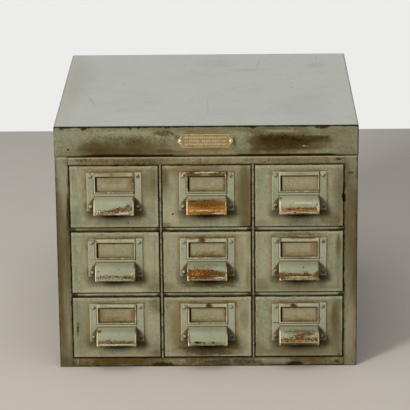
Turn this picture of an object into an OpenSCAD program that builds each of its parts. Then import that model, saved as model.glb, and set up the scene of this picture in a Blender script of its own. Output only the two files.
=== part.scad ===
// Steel card-index cabinet: nine drawers in a folded sheet carcass under a deep cap.
// Millimetres. The origin is the centre of the base, +Z is up and the drawers open towards -Y.

/* [Cabinet] */
// Overall width, across the cap
cabinet_w = 470; // [440:1:520]
// Overall depth of the cap, without the pulls
cabinet_d = 490; // [450:1:560]
// Overall height
cabinet_h = 393.5; // [380:0.5:430]
// Height of the cap's rim
cap_h = 47.5; // [30:0.5:56]
// How far the cap stands proud of the body on each side
cap_overhang = 0.75; // [0.25:0.25:2]
// Radius of the cap's upper edges and corners
cap_edge_r = 2.5; // [2.25:0.25:6]
// Thickness of the carcass sheet
shell_t = 1.2; // [0.8:0.1:1.4]
// Outside radius of the carcass folds
fold_r = 1.5; // [1.4:0.1:1.8]
// Width of the inward folds that join the panels
flange_w = 14; // [12:0.5:18]

/* [Front frame] */
// Width of the upright stile on each side
stile_w = 20.75; // [19:0.25:28]
// Height of the rail over the drawers
top_rail_h = 14.4; // [10:0.1:20]
// Height of the rail under the drawers
bottom_rail_h = 15; // [10:0.5:20]
// Face width of the uprights between the drawers
mullion_w = 3.5; // [3.1:0.1:6]
// Face height of the rails between the drawers
cross_rail_h = 5; // [4:0.25:8]
// Depth of the rails, of the stile lips and of the mullion noses
frame_depth = 14; // [12:0.5:18]

/* [Drawers] */
// Gap around each drawer front
front_gap = 1; // [0.6:0.1:1.5]
// Thickness of the drawer sheet
drawer_t = 1; // [0.8:0.1:1.2]
// Outside radius of the folds of a drawer's front and tray
front_edge_r = 1.8; // [1.4:0.1:2.4]
// Radius of the drawer front's corners
front_corner_r = 2.5; // [2:0.25:4]
// Gap between a drawer front's side returns and its tray
tray_side_gap = 1; // [0.2:0.1:2.5]
// From the top of a drawer front down to the tray's side walls
tray_drop = 11; // [6:0.5:30]
// From the fold at the top of a drawer front down to the tray's front wall
tray_front_drop = 0.5; // [0.1:0.1:4]
// Room behind a closed tray
tray_back_gap = 20; // [10:1:40]
// How far a drawer slides out
travel = 380; // [300:5:390]
// How far a stop lug reaches above its bay
stop_rise = 3; // [2:0.25:3.5]
// Length of a stop lug
stop_l = 10; // [6:1:20]
// Gap left at a stop
stop_gap = 0.3; // [0.2:0.05:0.5]

/* [Runners] */
// How far a runner reaches under a tray
runner_bearing = 8; // [5:0.5:14]
// Height of a runner's leg below its shelf
runner_leg_h = 10; // [8:0.5:12]
// Height of the guide on an outer runner
guide_h = 5; // [3:0.5:7]
// Running gap between a tray and its runners
runner_gap = 0.3; // [0.2:0.05:0.5]

/* [Pulls] */
// Width of a pull's backplate
pull_w = 86; // [82:0.5:100]
// Height of a pull's backplate
pull_h = 62.5; // [61:0.25:68]
// From the top of a drawer front to the backplate
pull_drop = 10; // [6:0.5:14]
// Thickness of the pull's sheet
pull_t = 0.9; // [0.7:0.1:1.2]
// Width of the card holder and of the hood
holder_w = 62; // [56:0.5:62]
// Height of the card holder
holder_h = 33.9; // [32:0.1:34.5]
// From the top of the backplate to the card holder
holder_inset = 0.4; // [0:0.1:1]
// How far the card holder stands proud of the drawer front
holder_proud = 3; // [2.4:0.1:4]
// Width of the card window
window_w = 57.5; // [48:0.5:58]
// Height of the card window
window_h = 24.5; // [20:0.5:26]
// Height of the card holder's lower member
window_sill = 2.8; // [2:0.1:4]
// Outside radius of the hood
hood_r = 24; // [20:0.5:25]
// How far the hood's lip hangs below the backplate
lip_drop = 0.4; // [0:0.1:2]
// Width of the ear on each side of the hood
ear_w = 11; // [9.5:0.25:11.5]
// Height of the slanted stretch on top of an ear
ear_slant = 13; // [8:0.5:14]
// From the hood's top to the start of that slant
ear_shoulder = 0.6; // [0:0.1:1]
// Width of the backplate's side straps beside the finger gap
strap_w = 15; // [14:0.25:18]

/* [Rivets and screws] */
// Radius of a rivet's head
rivet_head_r = 2.5; // [2:0.1:3]
// Height of a rivet's head
rivet_head_h = 1.3; // [1:0.1:2]
// Radius of a rivet's shank
rivet_r = 1.5; // [1:0.1:1.8]
// Radius of a rivet's clinched tail
rivet_tail_r = 2.3; // [2:0.1:2.8]
// Height of a rivet's clinched tail
rivet_tail_h = 0.7; // [0.5:0.1:1]
// From a rivet to the backplate's side edge
rivet_in = 6.2; // [5:0.1:7]
// From the upper rivets to the backplate's top
rivet_top = 6.5; // [5:0.25:9]
// From the lower rivets to the backplate's bottom
rivet_bottom = 7; // [5:0.25:9]
// Gap between a shank and its hole
hole_gap = 0.05; // [0.03:0.01:0.1]
// Radius of a cap screw's shank
screw_r = 2; // [1.5:0.1:2.4]
// Radius of a cap screw's head
screw_head_r = 3.8; // [3.2:0.1:4.5]
// Height of a cap screw's head
screw_head_h = 2.2; // [1.8:0.1:3]
// How far a cap screw reaches above the cap's flange
screw_end = 1.6; // [1:0.1:4]
// Width of a cap screw's slot
slot_w = 0.8; // [0.6:0.1:1.2]
// Depth of a cap screw's slot
slot_d = 1; // [0.6:0.1:1.4]
// From the cabinet's middle to the screws on the left and right, along the depth
side_screw_y = 150; // [60:1:190]
// From the cabinet's middle to the screws at the front and back, along the width
end_screw_x = 143.5; // [90:0.5:190]

/* [Nameplate] */
// From the cap's middle to the plate's middle, negative to the left
plate_x = -1.2; // [-10:0.1:10]
// Width of the plate without its end lobes
plate_w = 72.5; // [60:0.5:90]
// Height of the plate
plate_h = 21; // [16:0.5:26]
// Thickness of the plate
plate_t = 0.8; // [0.6:0.1:1.2]
// Radius of the round end lobes
lobe_r = 3.6; // [3:0.1:5]
// Radius of the hollow curves from the corners to the end lobes
scallop_r = 8.4; // [6:0.1:12]
// From the plate's end to the middle of a pin, outwards
pin_out = 2.6; // [1.5:0.1:4]
// Radius of a pin's head
pin_head_r = 1.9; // [1.4:0.1:2.2]
// Height of a pin's head
pin_head_h = 1; // [0.6:0.1:1.5]
// Radius of a pin's shank
pin_r = 0.9; // [0.6:0.1:1.2]
// Length of a pin's shank behind the plate
pin_l = 5; // [3:0.5:10]

/* [Hidden] */
$fn = 48;
rows = 3;
cols = 3;
arc_steps = 5; // facets in a quarter of a fold
over = 1; // how far a cut runs past a face

body_w = cabinet_w - 2 * cap_overhang;
body_d = cabinet_d - 2 * cap_overhang;
body_h = cabinet_h - cap_h;
front_y = -body_d / 2;
back_y = body_d / 2 - shell_t; // inner face of the back panel
side_x = body_w / 2 - shell_t; // inner face of a side
opening_x = body_w / 2 - stile_w;
frame_y = front_y + frame_depth; // rear edge of the front frame
nose_t = (mullion_w - shell_t) / 2; // sheet of a mullion's nose, folded round its web

bay_w = (2 * opening_x - (cols - 1) * mullion_w) / cols;
bay_h = (body_h - top_rail_h - bottom_rail_h - (rows - 1) * cross_rail_h) / rows;
front_w = bay_w - 2 * front_gap;
front_h = bay_h - 2 * front_gap;
front_return = frame_depth - stop_gap;

tray_w = front_w - 2 * (drawer_t + tray_side_gap);
tray_y0 = front_y + drawer_t;
tray_y1 = back_y - tray_back_gap;
stop_y = frame_y + travel + stop_gap;
runner_y1 = back_y - shell_t - stop_gap;

holder_z = -holder_inset - holder_h; // lower edge of the card holder, from the backplate's top
lip_z = -pull_h - lip_drop;
hood_z = lip_z + hood_r;
ear_x = holder_w / 2 + ear_w;
ear_z0 = hood_z - ear_shoulder;
ear_z1 = ear_z0 - ear_slant;
rivet_x = pull_w / 2 - rivet_in;
rivet_spots = [for (side = [-1, 1]) for (z = [-rivet_top, rivet_bottom - pull_h]) [side * rivet_x, z]];

pin_x = plate_w / 2 + pin_out;
plate_z = body_h + cap_h / 2; // middle height of the nameplate
screw_x = side_x - (flange_w - shell_t) / 2;
screw_y = back_y - (flange_w - shell_t) / 2;
screw_spots = concat(
    [for (x = [-1, 1]) for (y = [-1, 1]) [x * screw_x, y * side_screw_y]],
    [for (x = [-1, 1]) for (y = [-1, 1]) [x * end_screw_x, y * screw_y]]
);

paint = [0.53, 0.52, 0.42];
frame_paint = [0.45, 0.42, 0.31];
drawer_paint = [0.56, 0.55, 0.44];
pull_paint = [0.60, 0.61, 0.52];
bare_steel = [0.50, 0.50, 0.47];
brass = [0.72, 0.60, 0.33];

// Middle of column c, counted from the left
function bay_x(c) = (c - (cols + 1) / 2) * (bay_w + mullion_w);
// Bottom of the bays in row r, counted from the top
function bay_z(r) = bottom_rail_h + (rows - r) * (bay_h + cross_rail_h);
function front_top(r) = bay_z(r) + bay_h - front_gap;
function tray_floor(r) = bay_z(r) + front_gap + drawer_t;
function pull_top(r) = front_top(r) - pull_drop;
function drawer_name(r, c, piece) = str("drawer_r", r, "c", c, "_", piece);

// Points of a quarter turn from angle a0 about (x, y); a radius of 0 gives the corner itself
function corner(x, y, r, a0) = r <= 0 ? [[x, y]] :
    [for (i = [0:arc_steps]) let (a = a0 + 90 * i / arc_steps) [x + r * cos(a), y + r * sin(a)]];
// Outline of a rectangle whose lower corners have radius r0 and upper corners r1
function round_rect(w, y0, y1, r0, r1) = concat(
    corner(w / 2 - r1, y1 - r1, r1, 0), corner(r1 - w / 2, y1 - r1, r1, 90),
    corner(r0 - w / 2, y0 + r0, r0, 180), corner(w / 2 - r0, y0 + r0, r0, 270)
);

// A block on z = 0 with rounded bottom edges, top edges and upright corners
module rounded_block(w, d, h, bottom_r, top_r, corner_r) {
    intersection() {
        linear_extrude(height = h) polygon(round_rect(w, -d / 2, d / 2, corner_r, corner_r));
        rotate([90, 0, 0]) linear_extrude(height = d, center = true)
            polygon(round_rect(w, 0, h, bottom_r, top_r));
        rotate([90, 0, 90]) linear_extrude(height = w, center = true)
            polygon(round_rect(d, 0, h, bottom_r, top_r));
    }
}

// A box given by its low and high corners
module span(low, high) {
    translate(low) cube(high - low);
}

// Keeps what lies within the folded outline of the body
module folded() {
    intersection() {
        rounded_block(body_w, body_d, body_h, fold_r, fold_r, fold_r);
        union() children();
    }
}

// Holes for the cap screws through the sheets between two heights
module screw_holes(z0, z1) {
    for (p = screw_spots) translate([p[0], p[1], z0 - over])
        cylinder(r = screw_r + hole_gap, h = z1 - z0 + 2 * over);
}

// A channel that opens to the rear: its face is w wide and h high, on z = 0
module channel(w, h) {
    difference() {
        span([-w / 2, front_y, 0], [w / 2, frame_y, h]);
        span([-w / 2 - over, front_y + shell_t, shell_t], [w / 2 + over, frame_y + over, h - shell_t]);
    }
}

// A domed head on z = 0
module dome(r, h) {
    rotate_extrude() polygon(concat([[0, 0]],
        [for (i = [0:arc_steps * 2]) let (a = 45 * i / arc_steps) [r * cos(a), h * sin(a)]]));
}

// The right side, with its stile, lip and flanges; the left one is its mirror image
module side_panel() {
    difference() {
        folded() {
            span([side_x, front_y, shell_t], [body_w / 2, back_y, body_h]);
            span([opening_x, front_y, shell_t], [body_w / 2, front_y + shell_t, body_h]);
            span([opening_x, front_y, shell_t], [opening_x + shell_t, frame_y, body_h]);
            span([body_w / 2 - flange_w, back_y - shell_t, shell_t], [body_w / 2, back_y, body_h]);
            for (z = [shell_t, body_h - shell_t])
                span([body_w / 2 - flange_w, front_y, z], [body_w / 2, back_y, z + shell_t]);
        }
        screw_holes(body_h - shell_t, body_h);
    }
}

module left_side() {
    color(frame_paint) mirror([1, 0, 0]) side_panel();
}

module right_side() {
    color(frame_paint) side_panel();
}

module back_panel() {
    flange_x = body_w / 2 - flange_w - stop_gap;
    color(paint) difference() {
        folded() {
            span([-body_w / 2, back_y, shell_t], [body_w / 2, body_d / 2, body_h]);
            span([-flange_x, body_d / 2 - flange_w, body_h - shell_t], [flange_x, body_d / 2, body_h]);
        }
        screw_holes(body_h - shell_t, body_h);
    }
}

// The floor sheet, under the flanges of the sides and the rail
module bottom_panel() {
    color(paint) folded() span([-body_w / 2, front_y, 0], [body_w / 2, body_d / 2, shell_t]);
}

// The body's own top sheet, under the flanges; its front tongue lies inside the top rail's channel
module top_deck() {
    z = body_h - 2 * shell_t;
    color(paint) difference() {
        union() {
            span([-side_x, frame_y, z], [side_x, back_y - shell_t, z + shell_t]);
            span([-opening_x, front_y + shell_t, z], [opening_x, frame_y, z + shell_t]);
        }
        screw_holes(z, body_h);
    }
}

module top_rail() {
    color(frame_paint) difference() {
        folded() translate([0, 0, body_h - top_rail_h]) channel(2 * opening_x, top_rail_h);
        screw_holes(body_h - shell_t, body_h);
    }
}

module bottom_rail() {
    color(frame_paint) translate([0, 0, shell_t]) channel(2 * opening_x, bottom_rail_h - shell_t);
}

// The cross rails, one under every bay but those of the last row
module cross_rails() {
    color(frame_paint) for (r = [1:rows - 1]) for (c = [1:cols])
        translate([bay_x(c), 0, bay_z(r) - cross_rail_h]) channel(bay_w, cross_rail_h);
}

// A partition right of column c: a web whose front edge is held in a folded nose
module partition(c) {
    x = bay_x(c) + (bay_w + mullion_w) / 2;
    z0 = bottom_rail_h;
    z1 = body_h - top_rail_h;
    color(frame_paint) translate([x, 0, 0]) {
        span([-shell_t / 2, frame_y, shell_t], [shell_t / 2, back_y, body_h - 2 * shell_t]);
        span([-shell_t / 2, front_y, z0], [shell_t / 2, frame_y, z1]);
        span([-mullion_w / 2, front_y, z0], [mullion_w / 2, front_y + shell_t, z1]);
        for (x0 = [-mullion_w / 2, mullion_w / 2 - nose_t])
            span([x0, front_y, z0], [x0 + nose_t, frame_y, z1]);
    }
}

// One angle runner on side s (-1 left, 1 right) of a bay. Inner ones lie against a partition; outer
// ones reach in from the cabinet's side and carry an upright guide.
module runner(r, c, s) {
    outer = bay_x(c) * s > bay_w;
    wall_x = outer ? side_x - bay_x(c) * s : bay_w / 2 + nose_t;
    shelf_z = tray_floor(r) - runner_gap;
    translate([bay_x(c), 0, shelf_z]) mirror([s < 0 ? 1 : 0, 0, 0]) {
        span([tray_w / 2 - runner_bearing, frame_y, -shell_t], [wall_x, runner_y1, 0]);
        span([wall_x - shell_t, frame_y, -shell_t - runner_leg_h], [wall_x, runner_y1, 0]);
        if (outer)
            span([bay_w / 2, frame_y, -shell_t], [bay_w / 2 + shell_t, runner_y1, guide_h]);
    }
}

module runners() {
    color(bare_steel) for (r = [1:rows]) for (c = [1:cols]) for (s = [-1, 1]) runner(r, c, s);
}

// The cap: a five-sided shell with an inward flange that rests on the body
module top_cap() {
    color(paint) difference() {
        translate([0, 0, body_h])
            rounded_block(cabinet_w, cabinet_d, cap_h, fold_r, cap_edge_r, cap_edge_r);
        translate([0, 0, body_h + shell_t])
            rounded_block(cabinet_w - 2 * shell_t, cabinet_d - 2 * shell_t, cap_h - 2 * shell_t,
                0, cap_edge_r - shell_t, cap_edge_r - shell_t);
        span([flange_w - cabinet_w / 2, flange_w - cabinet_d / 2, body_h - over],
            [cabinet_w / 2 - flange_w, cabinet_d / 2 - flange_w, body_h + cap_h / 2]);
        screw_holes(body_h, body_h + shell_t);
        for (s = [-1, 1]) translate([plate_x + s * pin_x, 0, plate_z]) rotate([90, 0, 0])
            cylinder(r = pin_r + hole_gap, h = cabinet_d / 2 + over);
    }
}

module cap_screws() {
    color(bare_steel) for (p = screw_spots) translate([p[0], p[1], body_h - 2 * shell_t]) {
        cylinder(r = screw_r, h = 3 * shell_t + screw_end);
        difference() {
            translate([0, 0, -screw_head_h]) cylinder(r = screw_head_r, h = screw_head_h);
            translate([0, 0, slot_d / 2 - screw_head_h - over / 2])
                cube([2 * screw_head_r + over, slot_w, slot_d + over], center = true);
        }
    }
}

// Full height to its corners, then hollow curves that run out to a round lobe at each end
module plate_outline() {
    difference() {
        square([2 * pin_x + lobe_r, plate_h], center = true);
        for (x = [-1, 1]) for (y = [-1, 1])
            translate([x * (plate_w / 2 + scallop_r), y * plate_h / 2]) circle(r = scallop_r);
    }
    for (s = [-1, 1]) translate([s * pin_x, 0]) circle(r = lobe_r);
}

module nameplate() {
    color(brass) translate([plate_x, -cabinet_d / 2, plate_z]) rotate([90, 0, 0])
        linear_extrude(height = plate_t) difference() {
            plate_outline();
            for (s = [-1, 1]) translate([s * pin_x, 0]) circle(r = pin_r + hole_gap);
        }
}

module nameplate_pins() {
    color(brass) for (s = [-1, 1])
        translate([plate_x + s * pin_x, -cabinet_d / 2 - plate_t, plate_z]) rotate([90, 0, 0]) {
            dome(pin_head_r, pin_head_h);
            translate([0, 0, -pin_l]) cylinder(r = pin_r, h = pin_l);
        }
}

// Places a piece of the drawer in row r and column c at the top middle of its backplate
module at_pull(r, c) {
    translate([bay_x(c), front_y, pull_top(r)]) children();
}

module rivet_holes() {
    for (p = rivet_spots) translate([p[0], -over - 2 * pull_t, p[1]]) rotate([-90, 0, 0])
        cylinder(r = rivet_r + hole_gap, h = 2 * (over + pull_t + drawer_t));
}

// The front pan, with rounded edges and returns all round
module drawer_front(r, c) {
    color(drawer_paint) difference() {
        translate([bay_x(c), front_y + front_return, bay_z(r) + bay_h / 2]) rotate([90, 0, 0])
            difference() {
                rounded_block(front_w, front_h, front_return, 0, front_edge_r, front_corner_r);
                translate([0, 0, -over])
                    rounded_block(front_w - 2 * drawer_t, front_h - 2 * drawer_t,
                        front_return - drawer_t + over,
                        0, front_edge_r - drawer_t, front_corner_r - drawer_t);
            }
        at_pull(r, c) rivet_holes();
    }
}

// The tray: a folded box with stop lugs on its side walls, and a front wall riveted to the pan
module drawer_tray(r, c) {
    tray_l = tray_y1 - tray_y0;
    side_h = front_top(r) - tray_drop - tray_floor(r);
    fold_z = tray_floor(r) + front_edge_r; // the upright walls start here
    flat_x = tray_w / 2 - front_edge_r;
    color(bare_steel) difference() {
        translate([bay_x(c), 0, 0]) {
            translate([0, (tray_y0 + tray_y1) / 2, tray_floor(r)]) difference() {
                rounded_block(tray_w, tray_l, side_h, front_edge_r, 0, front_edge_r);
                translate([0, 0, drawer_t])
                    rounded_block(tray_w - 2 * drawer_t, tray_l - 2 * drawer_t, side_h - drawer_t + over,
                        front_edge_r - drawer_t, 0, front_edge_r - drawer_t);
            }
            span([-flat_x, tray_y0, fold_z],
                [flat_x, tray_y0 + drawer_t, front_top(r) - front_edge_r - tray_front_drop]);
            for (x = [-tray_w / 2, tray_w / 2 - drawer_t])
                span([x, stop_y, fold_z], [x + drawer_t, stop_y + stop_l, bay_z(r) + bay_h + stop_rise]);
        }
        at_pull(r, c) rivet_holes();
    }
}

// The backplate: two straps joined by the raised card holder, with the finger gap open below it
module drawer_card_frame(r, c) {
    holder_in = holder_w / 2 - pull_t;
    holder_top = -holder_inset;
    window_z = holder_z + window_sill;
    color(pull_paint) at_pull(r, c) difference() {
        union() {
            span([-pull_w / 2, -pull_t, -pull_h], [pull_w / 2, 0, 0]);
            span([-holder_w / 2, -holder_proud, holder_z], [holder_w / 2, 0, holder_top]);
        }
        span([-holder_in, pull_t - holder_proud, holder_z + pull_t], [holder_in, over, holder_top - pull_t]);
        span([-window_w / 2, -holder_proud - over, window_z], [window_w / 2, over, window_z + window_h]);
        span([strap_w - pull_w / 2, -pull_t - over, -pull_h - over],
            [pull_w / 2 - strap_w, over, hood_z - pull_t]);
        rivet_holes();
    }
}

// The hood: a quarter-round scoop with closed ends, on a flange whose ears take the lower rivets
module drawer_hood(r, c) {
    half_w = holder_w / 2;
    color(pull_paint) at_pull(r, c) {
        translate([0, -pull_t, lip_z]) difference() {
            intersection() {
                rotate([0, 90, 0]) cylinder(r = hood_r, h = holder_w, center = true);
                span([-half_w, -hood_r, 0], [half_w, 0, hood_r]);
            }
            rotate([0, 90, 0]) cylinder(r = hood_r - pull_t, h = holder_w - 2 * pull_t, center = true);
        }
        difference() {
            translate([0, -pull_t, 0]) rotate([90, 0, 0]) linear_extrude(height = pull_t) polygon([
                [-half_w, holder_z], [-half_w, ear_z0], [-ear_x, ear_z1], [-ear_x, -pull_h],
                [ear_x, -pull_h], [ear_x, ear_z1], [half_w, ear_z0], [half_w, holder_z]
            ]);
            span([pull_t - half_w, -2 * pull_t - over, -pull_h - over],
                [half_w - pull_t, over, hood_z - pull_t]);
            rivet_holes();
        }
    }
}

// Four rivets: the upper ones hold the backplate, the lower ones the hood's ears as well
module drawer_rivets(r, c) {
    color(pull_paint) at_pull(r, c) for (p = rivet_spots) {
        seat = p[1] > -pull_h / 2 ? pull_t : 2 * pull_t;
        translate([p[0], -seat, p[1]]) rotate([90, 0, 0]) {
            dome(rivet_head_r, rivet_head_h);
            translate([0, 0, -seat - 2 * drawer_t]) cylinder(r = rivet_r, h = seat + 2 * drawer_t);
            translate([0, 0, -seat - 2 * drawer_t - rivet_tail_h])
                cylinder(r = rivet_tail_r, h = rivet_tail_h);
        }
    }
}

drawer_pieces = ["front", "tray", "card_frame", "hood", "rivets"];

top_cap();
top_deck();
nameplate();
nameplate_pins();
left_side();
right_side();
back_panel();
bottom_panel();
top_rail();
bottom_rail();
partition(1);  // partition_left
partition(2);  // partition_right
cross_rails();
runners();
cap_screws();
for (r = [1:rows]) for (c = [1:cols]) {
    drawer_front(r, c);
    drawer_tray(r, c);
    drawer_card_frame(r, c);
    drawer_hood(r, c);
    drawer_rivets(r, c);
}
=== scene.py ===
import math

import bmesh
import bpy
from mathutils import Matrix, Vector


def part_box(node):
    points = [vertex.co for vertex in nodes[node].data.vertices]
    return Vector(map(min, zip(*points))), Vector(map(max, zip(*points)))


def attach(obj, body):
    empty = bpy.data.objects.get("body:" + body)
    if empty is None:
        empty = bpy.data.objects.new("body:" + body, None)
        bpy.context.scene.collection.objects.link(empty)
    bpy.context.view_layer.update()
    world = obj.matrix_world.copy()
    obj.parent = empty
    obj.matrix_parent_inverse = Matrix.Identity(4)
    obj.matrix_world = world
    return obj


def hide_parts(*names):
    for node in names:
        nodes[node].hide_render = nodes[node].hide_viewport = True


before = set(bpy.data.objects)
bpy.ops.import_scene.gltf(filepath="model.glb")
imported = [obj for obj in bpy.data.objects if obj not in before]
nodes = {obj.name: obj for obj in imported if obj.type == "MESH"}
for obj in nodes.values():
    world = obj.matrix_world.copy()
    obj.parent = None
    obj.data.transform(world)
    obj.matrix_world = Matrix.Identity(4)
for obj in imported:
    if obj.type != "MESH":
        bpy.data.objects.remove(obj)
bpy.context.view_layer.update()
mm = 0.001
drawers = [(row, column) for row in (1, 2, 3) for column in (1, 2, 3)]


def tint(red, green, blue):
    # a colour as a paint chart gives it, 0 to 255, turned linear
    def linear(part):
        part = part / 255
        return part / 12.92 if part <= 0.04045 else ((part + 0.055) / 1.055) ** 2.4
    return (linear(red), linear(green), linear(blue), 1.0)


class Wire:
    def __init__(self, graph, socket):
        self.graph = graph
        self.socket = socket

    def math(self, operation, *values):
        return self.graph.make("ShaderNodeMath", {"operation": operation}, values)

    def __add__(self, other):
        return self.math("ADD", self, other)

    def __radd__(self, other):
        return self.math("ADD", other, self)

    def __sub__(self, other):
        return self.math("SUBTRACT", self, other)

    def __rsub__(self, other):
        return self.math("SUBTRACT", other, self)

    def __mul__(self, other):
        return self.math("MULTIPLY", self, other)

    def __rmul__(self, other):
        return self.math("MULTIPLY", other, self)

    def __truediv__(self, other):
        return self.math("DIVIDE", self, other)

    def __pow__(self, other):
        return self.math("POWER", self, other)

    def __abs__(self):
        return self.math("ABSOLUTE", self)

    def __neg__(self):
        return self.math("MULTIPLY", self, -1)

    def least(self, other):
        return self.math("MINIMUM", self, other)

    def most(self, other):
        return self.math("MAXIMUM", self, other)

    def rise(self, low, high):
        # 0 below low, 1 above high, smooth between
        return self.graph.make("ShaderNodeMapRange", {"interpolation_type": "SMOOTHSTEP"},
                               {"Value": self, "From Min": low, "From Max": high})

    def fall(self, low, high):
        return 1 - self.rise(low, high)


# soot paints both soot and painted shade; chalk paints both pale wear and painted highlights
palette = {
    "sage": tint(132, 132, 105), "greyGreen": tint(126, 131, 108), "beige": tint(141, 132, 105),
    "celadon": tint(140, 143, 117), "celadonDeep": tint(128, 131, 107), "mist": tint(168, 171, 162),
    "olive": tint(98, 91, 60), "tan": tint(138, 127, 92), "ochre": tint(116, 93, 54),
    "umber": tint(74, 57, 25), "dusk": tint(94, 85, 57), "soot": tint(21, 13, 1), "bark": tint(54, 42, 16),
    "rust": tint(102, 66, 22), "copper": tint(160, 106, 46), "brass": tint(206, 176, 116),
    "cream": tint(236, 216, 166), "plateBrass": tint(162, 144, 106), "chalk": tint(178, 174, 144),
    "steel": tint(126, 124, 116), "strap": tint(150, 150, 132), "pullGreen": tint(142, 145, 119),
    "windowTan": tint(148, 139, 107), "stile": tint(107, 102, 79), "rail": tint(116, 107, 79),
    "clay": tint(150, 124, 97), "ivory": tint(196, 182, 146), "inner": tint(108, 104, 76),
    "innerCool": tint(102, 103, 78), "innerWarm": tint(112, 103, 72),
}

grains = {  # size in mm, detail, roughness, stretch along x, y and z
    "cloud": (15, 3, 0.6, (1, 1, 1)),
    "grit": (3.4, 4, 0.62, (1, 1, 1)),
    "brush": (3.6, 4, 0.6, (6, 1, 0.8)),
    "fall": (4.5, 4, 0.6, (0.8, 0.8, 5)),
    "flake": (2.6, 4, 0.68, (2.2, 1, 0.8)),
    "speck": (1.6, 2, 0.5, (1, 1, 1)),
}

stainKinds = {  # the rim's softness, raggedness and grain, then what grain breaks it up and where that is cut
    "soft": (0.55, 0.9, "cloud"),
    "smear": (0.5, 1.1, "fall"),
    "speckled": (0.55, 1.4, "cloud", "grit", (0.4, 1.05)),
    "specks": (0.4, 0.8, "cloud", "speck", (1.08, 1.20)),
    "brushed": (0.6, 2.0, "brush", "flake", (0.4, 1.05)),
    "worn": (0.06, 2.4, "flake"),
    "torn": (0.08, 6.0, "flake"),
    "streaked": (0.14, 4.0, "flake"),
    "chip": (0.14, 2.6, "grit"),
    "dot": (0.25, 0.5, "grit"),
}
outlined = ("worn", "torn")  # kinds with a dark line round them
metals = {"brass": (0.2, 0.36), "cream": (0.1, 0.36), "steel": (0.8, 0.4)}
# tones that dull the gloss under them
matt = ("umber", "soot", "bark", "rust", "copper", "ochre", "dusk", "tan")
rimWidth = 2.4  # mm, the dark line round a worn patch


class Graph:
    # a node tree that grows by plain calls
    def __init__(self, tree):
        self.tree = tree
        self.tree.nodes.clear()

    def make(self, kind, settings=None, sockets=(), out=0):
        node = self.tree.nodes.new(kind)
        for key, value in (settings or {}).items():
            setattr(node, key, value)
        pairs = sockets.items() if isinstance(sockets, dict) else enumerate(sockets)
        for key, value in pairs:
            if isinstance(value, Wire):
                self.tree.links.new(value.socket, node.inputs[key])
            elif value is not None:
                node.inputs[key].default_value = value
        if isinstance(out, tuple):
            return [Wire(self, node.outputs[name]) for name in out]
        return Wire(self, node.outputs[out])


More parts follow.
